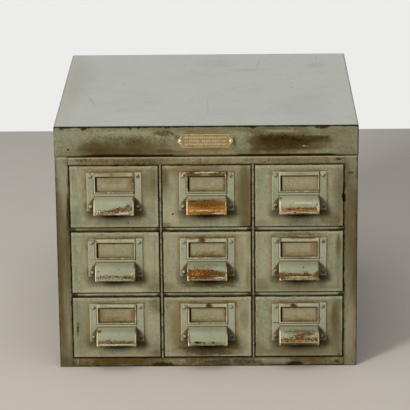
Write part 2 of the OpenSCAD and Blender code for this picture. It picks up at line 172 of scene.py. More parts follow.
class Finish(Graph):
    # a material that is built up in layers; lengths inside it are in millimetres
    def __init__(self, name, color, rough, metal=0.0, seed=0):
        self.material = bpy.data.materials.new(name)
        self.material.use_nodes = True
        super().__init__(self.material.node_tree)
        place = self.make("ShaderNodeTexCoord", out="Object")
        self.place = self.vector("SCALE", place, scale=1 / mm)
        self.x, self.y, self.z = self.make("ShaderNodeSeparateXYZ", {}, [self.place], out=("X", "Y", "Z"))
        self.seed = seed
        self.color = color
        self.rough = rough
        self.metal = metal
        self.gloss = 0.0
        self.height = 0.0
        self.grown = {}

    def vector(self, operation, *values, scale=None):
        sockets = dict(enumerate(values))
        if scale is not None:
            sockets["Scale"] = scale
        return self.make("ShaderNodeVectorMath", {"operation": operation}, sockets)

    def blend(self, mask, under, over):
        # sockets 0, 6 and 7 of a Mix node are its factor and its two colours; output 2 is the colour
        return self.make("ShaderNodeMix", {"data_type": "RGBA"}, {0: mask, 6: under, 7: over}, out=2)

    def noise(self, size, detail=3.0, rough=0.5, stretch=(1, 1, 1), seed=0):
        scale = [1 / (size * part) for part in stretch]
        shift = [(self.seed + seed) * part for part in (7.31, 3.77, 5.13)]
        at = self.vector("MULTIPLY_ADD", self.place, scale, shift)
        return self.make("ShaderNodeTexNoise", {}, {"Vector": at, "Scale": 1.0, "Detail": detail,
                                                    "Roughness": rough})

    def grain(self, kind):
        if kind not in self.grown:
            self.grown[kind] = self.noise(*grains[kind], seed=len(self.grown) * 3)
        return self.grown[kind]

    def grainsOf(self, *kinds):
        return [self.grain(kind) for kind in kinds]

    def layer(self, mask, tone, rough=None, metal=None, height=0.0):
        self.color = self.blend(mask, self.color, palette[tone])
        if tone in metals and metal is None:
            metal, rough = metals[tone]
        if rough is not None:
            self.rough = self.rough + (rough - self.rough) * mask
        if metal is not None:
            self.metal = self.metal + (metal - self.metal) * mask
        if tone in matt and self.gloss != 0:
            self.gloss = self.gloss * (1 - mask)
        if height:
            self.height = self.height + mask * height

    def far(self, u, v, at, size, turn=0.0):
        # distance from at, 1 on the rim of an ellipse around it
        du = u - at[0]
        dv = v - at[1]
        if turn:
            c, s = math.cos(math.radians(turn)), math.sin(math.radians(turn))
            du, dv = du * c + dv * s, dv * c - du * s
        du = du / size[0]
        dv = dv / size[1]
        return (du * du + dv * dv) ** 0.5

    def spot(self, u, v, at, size, soft=0.5, ragged=0.0, grain=None):
        # 1 inside an ellipse around at, 0 outside, with a soft or ragged rim
        far = self.far(u, v, at, size)
        if grain is not None:
            far = far + (grain - 0.5) * ragged
        return far.fall(1 - soft, 1 + soft)

    def stain(self, u, v, kind, at, size, tone, amount, turn=0, where=1.0):
        soft, ragged, grain, *broken = stainKinds[kind]
        far = self.far(u, v, at, size, turn) + (self.grain(grain) - 0.5) * ragged
        mask = far.fall(1 - soft, 1 + soft)
        if broken:
            mask = (mask * self.grain(broken[0]) * 2).rise(*broken[1])
        mask = mask * where
        if kind in outlined:
            torn = self.grain("speck").rise(0.40, 0.54)
            self.layer(far.fall(1, 1 + rimWidth / min(size)) * torn * where * 0.9, "soot")
        self.layer(mask * amount, tone, height=-0.03 if kind in outlined else 0.0)
        if kind in outlined:
            self.layer(mask * self.grain("flake").rise(0.52, 0.64) * 0.7, "umber")

    def stains(self, u, v, rows, where=1.0):
        # a row is a kind, a centre, half sizes, a tone, an amount and perhaps a turn in degrees
        for row in filter(str.strip, rows.split(";")):
            kind, x, y, wide, tall, tone, *rest = row.split()
            x, y, wide, tall, *amounts = map(float, (x, y, wide, tall, *rest))
            self.stain(u, v, kind, (x, y), (wide, tall), tone, *amounts, where=where)

    def ragged(self, cloud, grit):
        # an unevenness about zero, by so many millimetres of the coarse and of the fine grain
        return (self.grain("cloud") - 0.5) * cloud + (self.grain("grit") - 0.5) * grit

    def inside(self, u, v, low, high):
        # distance in from the nearest edge of a rectangle, negative outside it
        return (u - low[0]).least(high[0] - u).least((v - low[1]).least(high[1] - v))

    def outside(self, u, v, low, high):
        # distance out from a rectangle, 0 inside it
        du = abs(u - (low[0] + high[0]) / 2) - (high[0] - low[0]) / 2
        dv = abs(v - (low[1] + high[1]) / 2) - (high[1] - low[1]) / 2
        du = du.most(0)
        dv = dv.most(0)
        return (du * du + dv * dv) ** 0.5

    def close(self, specular=0.02, coatRough=0.3):
        sockets = {"Base Color": self.color, "Roughness": self.rough, "Metallic": self.metal,
                   "Specular IOR Level": specular, "Coat Weight": self.gloss, "Coat Roughness": coatRough}
        if isinstance(self.height, Wire):
            sockets["Normal"] = self.make("ShaderNodeBump", {}, {"Strength": 1.0, "Distance": mm,
                                                                 "Height": self.height})
        shader = self.make("ShaderNodeBsdfPrincipled", {}, sockets)
        self.make("ShaderNodeOutputMaterial", {}, [shader], out=())
        return self.material


def dress(name, material):
    data = nodes[name].data
    data.materials.clear()
    data.materials.append(material)


camera = {"place": (0.0405, -3.8089, 1.3278), "yaw": 0.6924, "pitch": 16.580, "roll": -0.5927, "lens": 210.43,
          "sensor": 36.0}


def makeCamera(look):
    yaw, pitch, roll = (math.radians(look[key]) for key in ("yaw", "pitch", "roll"))
    ahead = Vector((-math.sin(yaw) * math.cos(pitch), math.cos(yaw) * math.cos(pitch), -math.sin(pitch)))
    right = Vector((math.cos(yaw), math.sin(yaw), 0))
    up = right.cross(ahead)
    tiltedRight = math.cos(roll) * right + math.sin(roll) * up
    tiltedUp = math.cos(roll) * up - math.sin(roll) * right
    data = bpy.data.cameras.new("camera")
    data.lens = look["lens"]
    data.sensor_width = look["sensor"]
    item = bpy.data.objects.new("camera", data)
    turn = Matrix((tiltedRight, tiltedUp, -ahead)).transposed().to_4x4()
    item.matrix_world = Matrix.Translation(look["place"]) @ turn
    bpy.context.scene.collection.objects.link(item)
    bpy.context.scene.camera = item


lamps = {
    "windowLight": {"place": (-3.68, -4.74, 2.01), "aim": (0, -0.1, 0.25), "size": 1.5, "power": 345,
                    "color": (1.0, 0.985, 0.955)},
    "ceilingLight": {"place": (0.0, -0.7, 2.9), "aim": (0, 0, 0.2), "size": 2.2, "power": 31,
                     "color": (0.99, 0.995, 1.0)},
}
surroundings = {"light": (0.80, 0.80, 0.79, 1.0), "strength": 0.27, "seen": tint(236, 236, 234)}
floor = {"color": tint(203, 197, 187), "rough": 0.75, "back": 1.22, "front": -6.0, "half": 5.0}


def makeLamps():
    for name, look in lamps.items():
        data = bpy.data.lights.new(name, "AREA")
        data.shape = "DISK"
        data.size = look["size"]
        data.energy = look["power"]
        data.color = look["color"]
        item = bpy.data.objects.new(name, data)
        item.location = look["place"]
        aim = Vector(look["aim"]) - Vector(look["place"])
        item.rotation_mode = "QUATERNION"
        item.rotation_quaternion = aim.to_track_quat("-Z", "Y")
        bpy.context.scene.collection.objects.link(item)


def makeWorld():
    world = bpy.data.worlds.new("studio")
    bpy.context.scene.world = world
    world.use_nodes = True
    graph = Graph(world.node_tree)
    toCamera, toGloss = graph.make("ShaderNodeLightPath", out=("Is Camera Ray", "Is Glossy Ray"))
    light = graph.make("ShaderNodeBackground", {}, [surroundings["light"], surroundings["strength"]])
    wall = graph.make("ShaderNodeBackground", {}, [surroundings["seen"]])
    pick = graph.make("ShaderNodeMixShader", {}, [toCamera.most(toGloss), light, wall])
    graph.make("ShaderNodeOutputWorld", {}, [pick], out=())


def makeFloor():
    mesh = bpy.data.meshes.new("floor")
    corners = [(-floor["half"], floor["front"], 0), (floor["half"], floor["front"], 0),
               (floor["half"], floor["back"], 0), (-floor["half"], floor["back"], 0)]
    mesh.from_pydata(corners, [], [(0, 1, 2, 3)])
    item = bpy.data.objects.new("floor", mesh)
    bpy.context.scene.collection.objects.link(item)
    finish = Finish("floorPaint", floor["color"], floor["rough"])
    mesh.materials.append(finish.close(specular=0.2))


makeCamera(camera)
makeLamps()
makeWorld()
makeFloor()
bpy.context.scene.view_settings.view_transform = "Standard"
print("camera, lamps and floor set")


def size(name):
    # the low and high corners of a node, in millimetres
    return [tuple(value / mm for value in corner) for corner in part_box(name)]


def enamel(name, seed, paint="sage", cool="greyGreen", warm="beige", dirt=0.5, rough=0.42):
    # worn stove enamel: broad drifts of tone, specks and a veil of grime, and an orange-peel surface
    finish = Finish(name, palette[paint], rough, seed=seed)
    grit = finish.grain("grit")
    finish.layer(finish.noise(52, 2, seed=1).rise(0.40, 0.62) * 0.8, cool)
    finish.layer(finish.noise(34, 3, seed=2).rise(0.45, 0.68) * 0.7, warm)
    finish.layer(finish.noise(8, 4, 0.65, (1.7, 1, 1), seed=3).rise(0.46, 0.74) * dirt, "dusk", rough=0.55)
    finish.layer(grit.rise(0.48, 0.74) * dirt, "dusk")
    finish.layer(grit.fall(0.28, 0.47) * dirt * 0.5, "chalk")
    fine = finish.noise(1.5, 3, 0.6, (0.8, 0.8, 2.4), seed=6)
    finish.layer(fine.rise(0.52, 0.66) * 0.20, "dusk")
    finish.layer(fine.fall(0.34, 0.48) * 0.14, "chalk")
    finish.height = finish.noise(2.6, 2, 0.5, seed=4) * 0.025 + finish.noise(0.7, 2, 0.5, seed=5) * 0.006
    return finish


def scratches(finish, amount, tone="chalk", along=(14, 1, 1), seed=20):
    # thin broken lines that run along one axis
    lines = abs(finish.noise(2.2, 2, 0.5, along, seed=seed) - 0.5).fall(0.002, 0.012)
    few = finish.noise(26, 2, 0.5, seed=seed + 1).rise(0.58, 0.70)
    finish.layer(lines * few * amount, tone)


frontLook = {
    "edge": 1.7,     # width of the dark line along the edges
    "band": 12.0,    # width of the grimy band inside it
    "halo": 8.0,     # reach of the tarnish around the backplate
    "seenDrop": 0.302,  # how far the view drops for each millimetre towards the viewer
    "windowHalf": 29, "windowTop": 6.5, "windowBottom": 32,  # the paint seen through the card holder
}

frontMarks = {
    (1, 1): {"halo": 0.6, "window": 0.55, "marks": """
        soft -210 270 5 30 chalk 0.15; soft -90 302 14 22 dusk 0.62; smear -78 308 8 26 umber 0.3;
        soft -150 326 50 6 ochre 0.35; soft -118 302 5 10 ochre 0.6; soft -145 306 18 5 dusk 0.35;
        soft -205 248 9 16 dusk 0.35; soft -128 236 44 6 dusk 0.15; dot -122 238 1.2 1.0 soot 0.8"""},
    (1, 2): {"halo": 0.5, "window": 0.65, "marks": """
        soft -54 254 14 22 chalk 0.25; soft 60 232 10 5 umber 0.5; smear 60 276 14 60 dusk 0.8;
        soft 58 286 9 42 olive 0.5; soft 60 292 7 34 umber 0.42; soft 64 240 8 16 umber 0.4;
        soft -67 309 9 20 dusk 0.85; soft -68 312 7 16 umber 0.35; soft -5 327 40 6 umber 0.5;
        dot -53 252 1.8 1.6 soot 0.9; soft -66 233 10 5 umber 0.6; soft -40 320 16 10 ochre 0.5"""},
    # the soft umber mark at 196 240 is a painted shadow cast by the hood
    (1, 3): {"halo": 0.35, "window": 0.35, "marks": """
        soft 199 298 5 18 dusk 0.3; soft 86 264 12 30 chalk 0.12; smear 206 278 9 52 dusk 0.5;
        smear 209 290 5 40 umber 0.35; chip 211.5 279 2.2 6 soot 0.95; brushed 152 236 40 6 umber 0.35;
        soft 196 240 14 12 umber 0.5; soft 84 236 14 6 dusk 0.4"""},
    (2, 1): {"halo": 0.6, "window": 0.5, "marks": """
        soft -140 129 44 5 chalk 0.45; soft -92 180 10 36 chalk 0.18; soft -86 138 16 18 dusk 0.42;
        soft -82 132 10 7 umber 0.25; dot -163 219 1.4 1.0 soot 0.8"""},
    (2, 2): {"halo": 0.6, "window": 0.75, "marks": """
        specks 2 187 27 5 rust 0.95; speckled 0 184 28 3 umber 0.5; soft 66 205 4 22 dusk 0.5;
        soft -56 186 12 40 chalk 0.12; soft 58 184 12 40 chalk 0.2; soft 51 182 7 26 ochre 0.3;
        brushed 0 137 46 7 umber 0.7; soft -62 132 12 8 dusk 0.5; soft 65 148 5 24 dusk 0.5"""},
    (2, 3): {"halo": 0.45, "window": 0.6, "marks": """
        soft 90 170 12 30 chalk 0.12; soft 167 196 6 9 rust 0.45; soft 118 194 4 11 rust 0.4;
        smear 205 199 4.5 17 dusk 0.7; smear 205 200 3 11 umber 0.4; smear 207 172 6 44 dusk 0.4;
        brushed 143 219 42 3.2 umber 0.65; soft 84 134 12 12 dusk 0.5; soft 150 131 50 6 dusk 0.5"""},
    (3, 1): {"halo": 0.45, "window": 0.95, "marks": """
        chip -205 64 1.6 9 soot 0.9; soft -198 60 12 34 dusk 0.38; soft -78 104 13 14 umber 0.55;
        soft -207 98 6 16 dusk 0.3; soft -90 30 18 14 dusk 0.5; soft -188 50 5 20 ochre 0.5;
        soft -88 58 10 34 chalk 0.12; soft -150 87 24 10 ochre 0.3; soft -170 88 7 11 ochre 0.85;
        soft -117 88 5 11 ochre 0.75; soft -80 22 10 6 umber 0.5"""},
    (3, 2): {"halo": 0.8, "window": 0.85, "marks": """
        soft -64 108 11 9 ochre 0.25; soft 62 60 10 40 chalk 0.22; smear 58 80 7 18 umber 0.35;
        soft -50 66 9 36 ochre 0.7; brushed -2 28 52 12 umber 0.8; soft 0 27 46 8 bark 0.55;
        soft 52 36 10 14 dusk 0.35"""},
    (3, 3): {"halo": 0.45, "window": 0.8, "marks": """
        soft 204 102 10 10 umber 0.45; soft 196 58 11 38 umber 0.34; soft 108 66 6 20 dusk 0.4;
        smear 201 78 8 28 dusk 0.8; smear 200 80 5 18 umber 0.4; soft 143 25 56 10 dusk 0.65;
        dot 206 19 2.0 1.5 soot 0.9; soft 206 40 9 30 dusk 0.6; soft 80 30 10 14 dusk 0.5"""},
}


def frontFinish(row, column):
    name = f"drawer_r{row}c{column}_front"
    look = frontMarks[row, column]
    low, high = size(name)
    plateLow, plateHigh = size(f"drawer_r{row}c{column}_card_frame")
    centre = (low[0] + high[0]) / 2
    finish = enamel(name, seed=row * 10 + column, dirt=0.34)
    u, v = finish.x, finish.z
    cloud, grit, brush = finish.grainsOf("cloud", "grit", "brush")
    scratches(finish, 0.35, along=(1, 1, 12), seed=30)
    strokes = finish.grain("fall")
    finish.layer(strokes.rise(0.50, 0.66) * 0.18, "dusk")
    finish.layer(strokes.fall(0.34, 0.48) * 0.14, "chalk")
    # grime along the edges, then tarnish round the backplate
    edge = finish.inside(u, v, (low[0], low[2]), (high[0], high[2]))
    band = edge + finish.ragged(16, 5)
    finish.layer(band.fall(-2, frontLook["band"]) * 0.32, "dusk", rough=0.55)
    half = frontLook["windowHalf"]
    sill, lintel = (plateHigh[2] - frontLook[key] for key in ("windowBottom", "windowTop"))
    window = finish.inside(u, v, (centre - half, sill), (centre + half, lintel))
    within = window.rise(-0.6, 0.6)
    halo = finish.outside(u, v, (plateLow[0], plateLow[2] + 6), (plateHigh[0], plateHigh[2]))
    halo = halo + finish.ragged(12, 7)
    finish.layer(halo.fall(-1, frontLook["halo"]) * (1 - within) * look["halo"], "ochre")
    finish.layer(halo.fall(-1, 2.4) * (1 - within) * 0.55, "umber")
    # the paint seen through the card holder's window
    finish.layer(within * 0.6, "windowTan")
    finish.layer(within * (grit + cloud).rise(0.94, 1.2) * 0.25, "olive")
    brown = window + finish.ragged(9, 5)
    finish.layer(within * brown.fall(-0.5, 7.5) * look["window"], "ochre")
    finish.layer(within * (brown + (brush - 0.5) * 6).fall(-0.5, 3.0) * look["window"], "umber")
    streaks = (v - plateHigh[2] + 26) + (cloud - 0.5) * 10
    finish.layer(within * streaks.fall(0, 7) * brush.rise(0.48, 0.62) * look["window"] * 0.6, "ochre")
    # a painted shadow of the holder's frame along the window's left and top sides
    corner = (u - centre + half).least((lintel - v) * 1.05) + (grit - 0.5) * 1.4
    finish.layer(within * corner.fall(2.1, 4.0) * 0.92, "soot")
    peppered = (v - plateHigh[2] + 22).fall(-6, 4) * finish.grain("speck").rise(0.54, 0.60)
    finish.layer(within * peppered * look["window"] * 0.5, "umber")
    # painted highlights along the folded top, left, right and bottom edges, broken up
    litCrest = (high[2] - v).most(0)
    finish.layer(litCrest.rise(0.8, 1.6) * litCrest.fall(2.6, 7.0) * (cloud + grit).fall(0.9, 1.3) * 0.5, "chalk")
    beside = (u - low[0]).most(0)
    finish.layer(beside.rise(0.8, 1.6) * beside.fall(2.2, 5.0) * (cloud + grit).fall(0.9, 1.2) * 0.3, "chalk")
    far = (high[0] - u).least(v - low[2]).most(0)
    finish.layer(far.rise(0.6, 1.6) * far.fall(3.0, 7.0) * (cloud + grit).fall(0.9, 1.3) * 0.30, "chalk")
    finish.stains(u, v, look["marks"])
    # painted shade right under the hood, a soft brown painted shade round it, and painted shadows cast to
    # each side
    shade = finish.spot(u, v, (centre, plateHigh[2] - 62), (39, 16.4), 0.45, 0.25, grit)
    for x, z, wide, tall, amount in ((37, -70, 9, 10, 0.60), (-38, -69, 8, 9, 0.42)):
        beside = finish.spot(u, v, (centre + x, plateHigh[2] + z), (wide, tall), 0.6, 0.4, cloud)
        finish.layer(beside * amount, "umber")
    lip = finish.spot(u, v, (centre + 3, plateHigh[2] - 63), (46, 24), 0.45, 0.6, cloud)
    finish.layer(lip * 0.14, "umber")
    finish.layer(shade * 0.98, "soot", rough=0.8)
    # the outermost line is nearly black: painted shade of the gap round the drawer, and grime
    rim = edge + finish.ragged(3.0, 2.6)
    finish.layer(rim.fall(-0.1, frontLook["edge"]) * 0.95, "soot", rough=0.6)
    return finish.close()


for row, column in drawers:
    dress(f"drawer_r{row}c{column}_front", frontFinish(row, column))
print("drawer fronts finished")


capMarks = {
    # the soft umber mark at 43.6 369 is a painted shadow right of the nameplate's right lobe
    "front": """
        soft -128 359 76 15 dusk 0.72; soft -126 351 74 6 umber 0.55; soft -168 360 30 8 bark 0.62;
        soft -110 363 18 12 bark 0.5; soft -138 355 60 6 bark 0.25; speckled -134 371 70 9 umber 0.32;
        brushed -66 354 18 4 umber 0.7; specks -130 372 76 11 soot 0.4; specks -62 366 16 12 soot 0.5;
        speckled -64 382 20 7 umber 0.75; soft -84 361 16 6 umber 0.5; soft -146 347.6 46 2.6 soot 0.8;
        speckled 76 383 18 5 umber 0.6; soft 104 357 32 7 umber 0.75; soft 154 359 32 6 umber 0.75;
        speckled 105 388 30 3.4 umber 0.6; soft 126 368 62 16 dusk 0.7; soft 122 369 54 11.5 umber 0.8;
        soft 120 367 44 7 bark 0.8; soft 75 366 8 15 umber 0.6; specks 112 378 50 6 soot 0.7;
        brushed 166 371 34 6 bark 0.75 -2; specks 150 359 44 6 umber 0.7; brushed 110 374 42 5 soot 0.5 -2;
        soft 190 384 40 8 dusk 0.4; dot -213 357 2.0 1.8 soot 0.9; soft -1 356.0 42 4.2 ochre 0.85;
        soft 10 356.4 20 1.6 umber 0.3; soft -1 383.4 40 3.4 ochre 0.8; soft -44 375 4 5 umber 0.5;
        specks -62 383 18 6 soot 0.6; soft 92 387 34 3.6 dusk 0.55; soft 97 356 12 4 bark 0.5;
        soft -46 368 4 10 umber 0.25; soft 43 367 4 10 umber 0.25; soft 213 362 20 24 dusk 0.35;
        speckled 0 389 220 5 dusk 0.6; soft 43.6 369 2.6 6 umber 0.7; chip -188 391 4.4 3.4 soot 0.9;
        chip -116 391 1.8 4 soot 0.85; chip -104 391 1.2 3 soot 0.85; chip -60 392 6 2.4 soot 0.85;
        chip 72 391.5 5 2.6 soot 0.85; chip 178 391 10 2.8 soot 0.85; chip -222 391 4 3 soot 0.8;
        chip 151 360.4 2.2 0.7 chalk 0.6 -5; chip 157 359.6 2.0 0.6 chalk 0.5 -5;
        specks 118 366 56 12 soot 0.7; brushed 124 357 44 3 soot 0.45 1; soft 94 367 22 10 bark 0.3;
        soft 100 354 50 4 umber 0.4; brushed 176 374.5 22 3.4 bark 0.7 -2;
        brushed 112 385 26 3.2 celadon 0.45; soft 234.6 370 1.6 30 soot 0.8;
        brushed -118 385 44 5 celadon 0.3; brushed -40 352 20 3 umber 0.4""",
    # x and the depth from the front edge
    "top": """
        soft 15 420 30 28 dusk 0.2; soft 184 400 18 16 dusk 0.28; soft 66 368 24 12 dusk 0.2;
        soft -224 240 16 250 tan 0.34; soft -210 320 22 130 dusk 0.22; streaked 2 115 0.8 40 dusk 0.5 1.5;
        streaked -138 276 0.8 19 dusk 0.45; streaked -184 160 1.0 26 dusk 0.5 12;
        streaked 84 402 0.9 30 dusk 0.5 -7; streaked 185 452 0.9 17 dusk 0.45;
        streaked -37 302 0.8 10 dusk 0.4; dot 138 243 1.8 2.4 soot 0.6; dot 77 278 1.6 2.2 soot 0.5;
        dot 133 338 1.6 2.2 soot 0.5; dot 102 371 1.6 2.2 soot 0.5; soft -120 60 60 24 mist 0.5;
        soft 150 120 40 70 greyGreen 0.25""",
}


def capFinish():
    low, high = size("top_cap")
    finish = enamel("top_cap", seed=3, paint="sage", cool="celadonDeep", warm="greyGreen", dirt=0.42)
    u, v = finish.x, finish.z
    cloud, grit, brush = finish.grainsOf("cloud", "grit", "brush")
    upper = v.rise(high[2] - 0.9, high[2] - 0.1)
    frontal = finish.y.fall(low[1] + 1.5, low[1] + 2.5)
    depth = finish.y - low[1]
    lowly = (v + (cloud - 0.5) * 40).fall(low[2], high[2])
    finish.layer(lowly * (grit + brush).rise(0.9, 1.25) * 0.5, "dusk")
    # the upper face is painted paler as a painted reflection of the bright room, with its own marks
    finish.layer(upper * 0.86, "mist", rough=0.30)
    finish.layer(upper * finish.noise(70, 4, 0.6, seed=12).rise(0.40, 0.78) * 0.30, "celadonDeep")
    finish.layer(upper * finish.noise(16, 4, 0.6, seed=13).rise(0.52, 0.72) * 0.16, "dusk")
    finish.stains(u, depth, capMarks["top"], upper)
    finish.layer(frontal * 0.16, "dusk")
    finish.stains(u, v, capMarks["front"], frontal)
    # grime along the lower edge with a painted shadow line at the seam, and rubbed upper edges and corners
    plain = (1 - upper) * (1 - frontal)
    finish.layer(plain * finish.noise(60, 3, 0.6, seed=14).rise(0.46, 0.60) * 0.6, "dusk")
    finish.layer(plain * finish.noise(34, 4, 0.6, (1.6, 1.6, 0.6), seed=15).rise(0.54, 0.66) * 0.7, "bark")
    finish.layer(plain * finish.noise(26, 4, 0.65, (2, 2, 1), seed=16).fall(0.34, 0.44) * 0.35, "chalk")
    lower = (v - low[2]) + finish.ragged(10, 4)
    whole = u.rise(-206, -166) * 0.85 * u.fall(192, 206) + 0.15
    under = 1 - abs(u + 1).fall(44, 54) * 0.55
    finish.layer(lower.fall(-1, 8) * whole * under * 0.6, "umber", rough=0.55)
    finish.layer(((v - low[2]) + (grit - 0.5) * 1.5).fall(1.5, 3.3) * whole * under * 0.95, "soot")
    box = finish.inside(u, finish.y, (low[0], low[1]), (high[0], high[1]))
    worn = finish.ragged(4, 3)
    finish.layer(((high[2] - v).most(box) + worn).fall(1.0, 3.6) * 0.8, "umber")
    finish.layer(((high[2] - v).most(depth) + worn * 0.6).fall(1.6, 3.0) * 0.92, "soot")
    corner = (high[0] - 0.1 - abs(u)).most(depth) + worn
    finish.layer(corner.fall(0.2, 1.6) * 0.8, "soot")
    finish.gloss = upper * 0.75
    return finish


sheetMarks = {  # along the sheet, and up from the floor
    "left_side": """
        soft -120 296 90 30 dusk 0.6; soft -100 304 56 13 bark 0.5; brushed 60 196 96 20 umber 0.5 4;
        speckled 150 62 80 40 umber 0.7; soft -196 96 36 70 dusk 0.6; streaked -24 148 62 0.9 chalk 0.7 -12;
        streaked 92 246 48 0.9 chalk 0.6 7; torn 240 120 4 16 rust 0.85; torn -240 24 4 14 rust 0.85;
        chip 30 262 3.4 2.2 soot 0.9; chip -60 74 2.6 3.6 soot 0.9; soft 190 300 50 34 ochre 0.35;
        specks -40 230 120 60 umber 0.8; soft 40 12 190 12 bark 0.55""",
    "right_side": """
        soft -160 210 46 90 dusk 0.55; soft -176 236 22 52 umber 0.45; brushed 70 268 110 18 umber 0.55 -3;
        soft 96 272 60 9 bark 0.45; speckled -60 58 90 36 umber 0.65; streaked 40 170 70 0.9 chalk 0.7 9;
        streaked -90 300 30 0.9 chalk 0.6 -16; torn 240 236 4 20 rust 0.85; torn -240 150 3 12 rust 0.8;
        chip 120 108 3 4 soot 0.9; specks 130 120 90 70 umber 0.8; soft 200 60 40 60 dusk 0.5;
        chip -10 232 4 2 soot 0.85; soft -20 12 200 12 bark 0.55""",
    "back_panel": """
        soft -110 250 90 46 dusk 0.6; soft -126 262 48 20 umber 0.5; brushed 96 160 84 16 umber 0.55 -5;
        speckled 60 70 110 44 umber 0.65; streaked -60 180 54 0.9 chalk 0.7 14;
        streaked 120 262 40 0.9 chalk 0.6 -8; torn -170 9 22 5 rust 0.85; torn 150 7 32 4 rust 0.85;
        chip 20 300 4 2.6 soot 0.9; soft 0 12 200 12 bark 0.5; specks -60 110 130 70 umber 0.8;
        soft 180 300 40 40 ochre 0.35""",
}


def sheetFinish(name, seed, paint="sage", dirt=0.3, along="y"):
    # plain outer sheets: drifts of tone, runs under the cap, scuffs, and grime and chips towards the edges
    low, high = size(name)
    finish = enamel(name, seed=seed, paint=paint, dirt=dirt)
    cloud = finish.grain("cloud")
    across = finish.x if along == "x" else finish.y
    axis = "xy".index(along)
    finish.layer(finish.noise(130, 3, 0.55, seed=45).rise(0.44, 0.62) * 0.45, "olive")
    finish.layer(finish.noise(90, 3, 0.55, seed=46).rise(0.48, 0.64) * 0.45, "celadonDeep")
    runs = finish.noise(8, 3, 0.6, (1, 1, 16), seed=47).rise(0.50, 0.66)
    finish.layer(runs * (finish.z + (cloud - 0.5) * 120).rise(170, 350) * 0.5, "umber", rough=0.55)
    scratches(finish, 0.7, along=(1, 16, 1), seed=40)
    scratches(finish, 0.5, tone="umber", along=(1, 1, 14), seed=44)
    finish.layer((finish.z + (cloud - 0.5) * 60).fall(0, 80) * 0.5, "umber", rough=0.6)
    finish.layer((finish.z + (cloud - 0.5) * 10).fall(1, 9) * 0.6, "soot")
    finish.stains(across, finish.z, sheetMarks.get(name, ""))
    scuffs = finish.noise(30, 4, 0.6, (1, 1.6, 1), seed=50).rise(0.56, 0.64)
    finish.layer(scuffs * finish.grain("grit").rise(0.46, 0.6) * 0.5, "umber")
    rubs = finish.noise(40, 3, 0.6, seed=51).rise(0.54, 0.62) * finish.grain("brush").rise(0.50, 0.58)
    finish.layer(rubs * 0.3, "chalk")
    # chips cluster near the edges
    edge = finish.inside(across, finish.z, (low[axis], low[2]), (high[axis], high[2]))
    chips = finish.noise(5, 3, 0.6, seed=52) + edge.fall(0, 26) * 0.06
    finish.layer(chips.rise(0.67, 0.69) * 0.9, "soot", height=-0.05)
    finish.layer((edge + finish.ragged(30, 8)).fall(-2, 22) * 0.55, "umber", rough=0.55)
    finish.layer((edge + finish.ragged(4, 3)).fall(0, 2.4) * 0.7, "soot")
    return finish


sideMarks = {
    "left_side": """
        smear -225 150 5 130 umber 0.4; soft -226 298 6 30 celadonDeep 0.35; soft -220 290 6 38 beige 0.38;
        soft -231 262 6 44 umber 0.35; soft -227 164 15 40 dusk 0.55; soft -227 166 13 36 bark 0.38;
        soft -219 74 5 32 beige 0.35; soft -231 84 6 34 dusk 0.55; smear -222 116 4 60 greyGreen 0.3;
        smear -229 96 2.6 80 bark 0.45; smear -217.5 222 2.2 40 bark 0.6; soft -215 254 2.6 34 soot 0.8;
        soft -224 200 9 34 bark 0.16; soft -226 84 12 34 dusk 0.35; soft -226 8 14 9 bark 0.5;
        soft -226 180 12 60 dusk 0.45; soft -232 200 3 150 umber 0.35; soft -216 338 5 6 umber 0.4;
        streaked -211 10 0.6 9 chalk 0.5""",
    "right_side": """
        smear 225 150 5 150 umber 0.3; smear 221 90 5 70 greyGreen 0.3; smear 230 120 2.6 90 bark 0.45;
        soft 225 208 8 50 olive 0.4; soft 225 240 12 90 umber 0.15; dot 223 317 4.5 2.6 soot 0.8;
        soft 225 270 12 60 dusk 0.45; soft 225 232 14 52 dusk 0.55; soft 225 236 11 50 bark 0.15;
        soft 232 200 3 150 umber 0.35; soft 218 320 4 22 bark 0.45; chip 214.5 278 1.6 7 soot 0.9;
        soft 225 62 12 50 beige 0.55""",
}


capSeam = 343.8  # mm up, where the body goes in under the cap's rim
bodyHalf = 234.2  # mm, to the outer edge of a stile


def underCap(finish, where, highlight, highlightTop, seamShade):
    # a painted highlight just under the cap's rim, and painted shadow in the joint itself
    line = finish.z.rise(capSeam - 2.2, capSeam - 1.6) * finish.z.fall(highlightTop - 0.6, highlightTop)
    finish.layer(line * where * highlight, "chalk")
    seamShadow = (finish.z + (finish.grain("grit") - 0.5)).rise(capSeam, capSeam + 0.8)
    finish.layer(seamShadow * where * seamShade, "soot")


def sideFinish(name, seed):
    low, high = size(name)
    finish = sheetFinish(name, seed)
    u, v = finish.x, finish.z
    cloud = finish.grain("cloud")
    frontal = finish.y.fall(low[1] + 0.5, low[1] + 1.4)
    finish.layer(frontal * 0.9, "stile", rough=0.5)
    finish.layer(frontal * (v + (cloud - 0.5) * 70).rise(275, 320) * 0.75, "celadonDeep")
    finish.stains(u, v, sideMarks[name], frontal)
    finish.layer(frontal * finish.grain("fall").rise(0.50, 0.68) * 0.22, "umber")
    finish.layer(frontal * finish.grain("fall").fall(0.34, 0.48) * 0.15, "beige")
    seam = {"left_side": 0.25, "right_side": 0.85}[name]
    underCap(finish, frontal, 0.35, 344.2, seam)
    # both upright edges of the stile are grimy
    stile = (abs(u) - abs(low[0] if low[0] > 0 else high[0])).least(bodyHalf - abs(u))
    stile = stile + finish.ragged(6, 3)
    finish.layer(frontal * stile.fall(-0.5, 5) * 0.35, "umber")
    finish.layer(frontal * stile.fall(-0.5, 2.2) * 0.9, "soot")
    outer = (finish.y - low[1]) + finish.ragged(5, 3)
    finish.layer(outer.fall(0.4, 4) * (1 - frontal) * 0.6, "umber")
    return finish


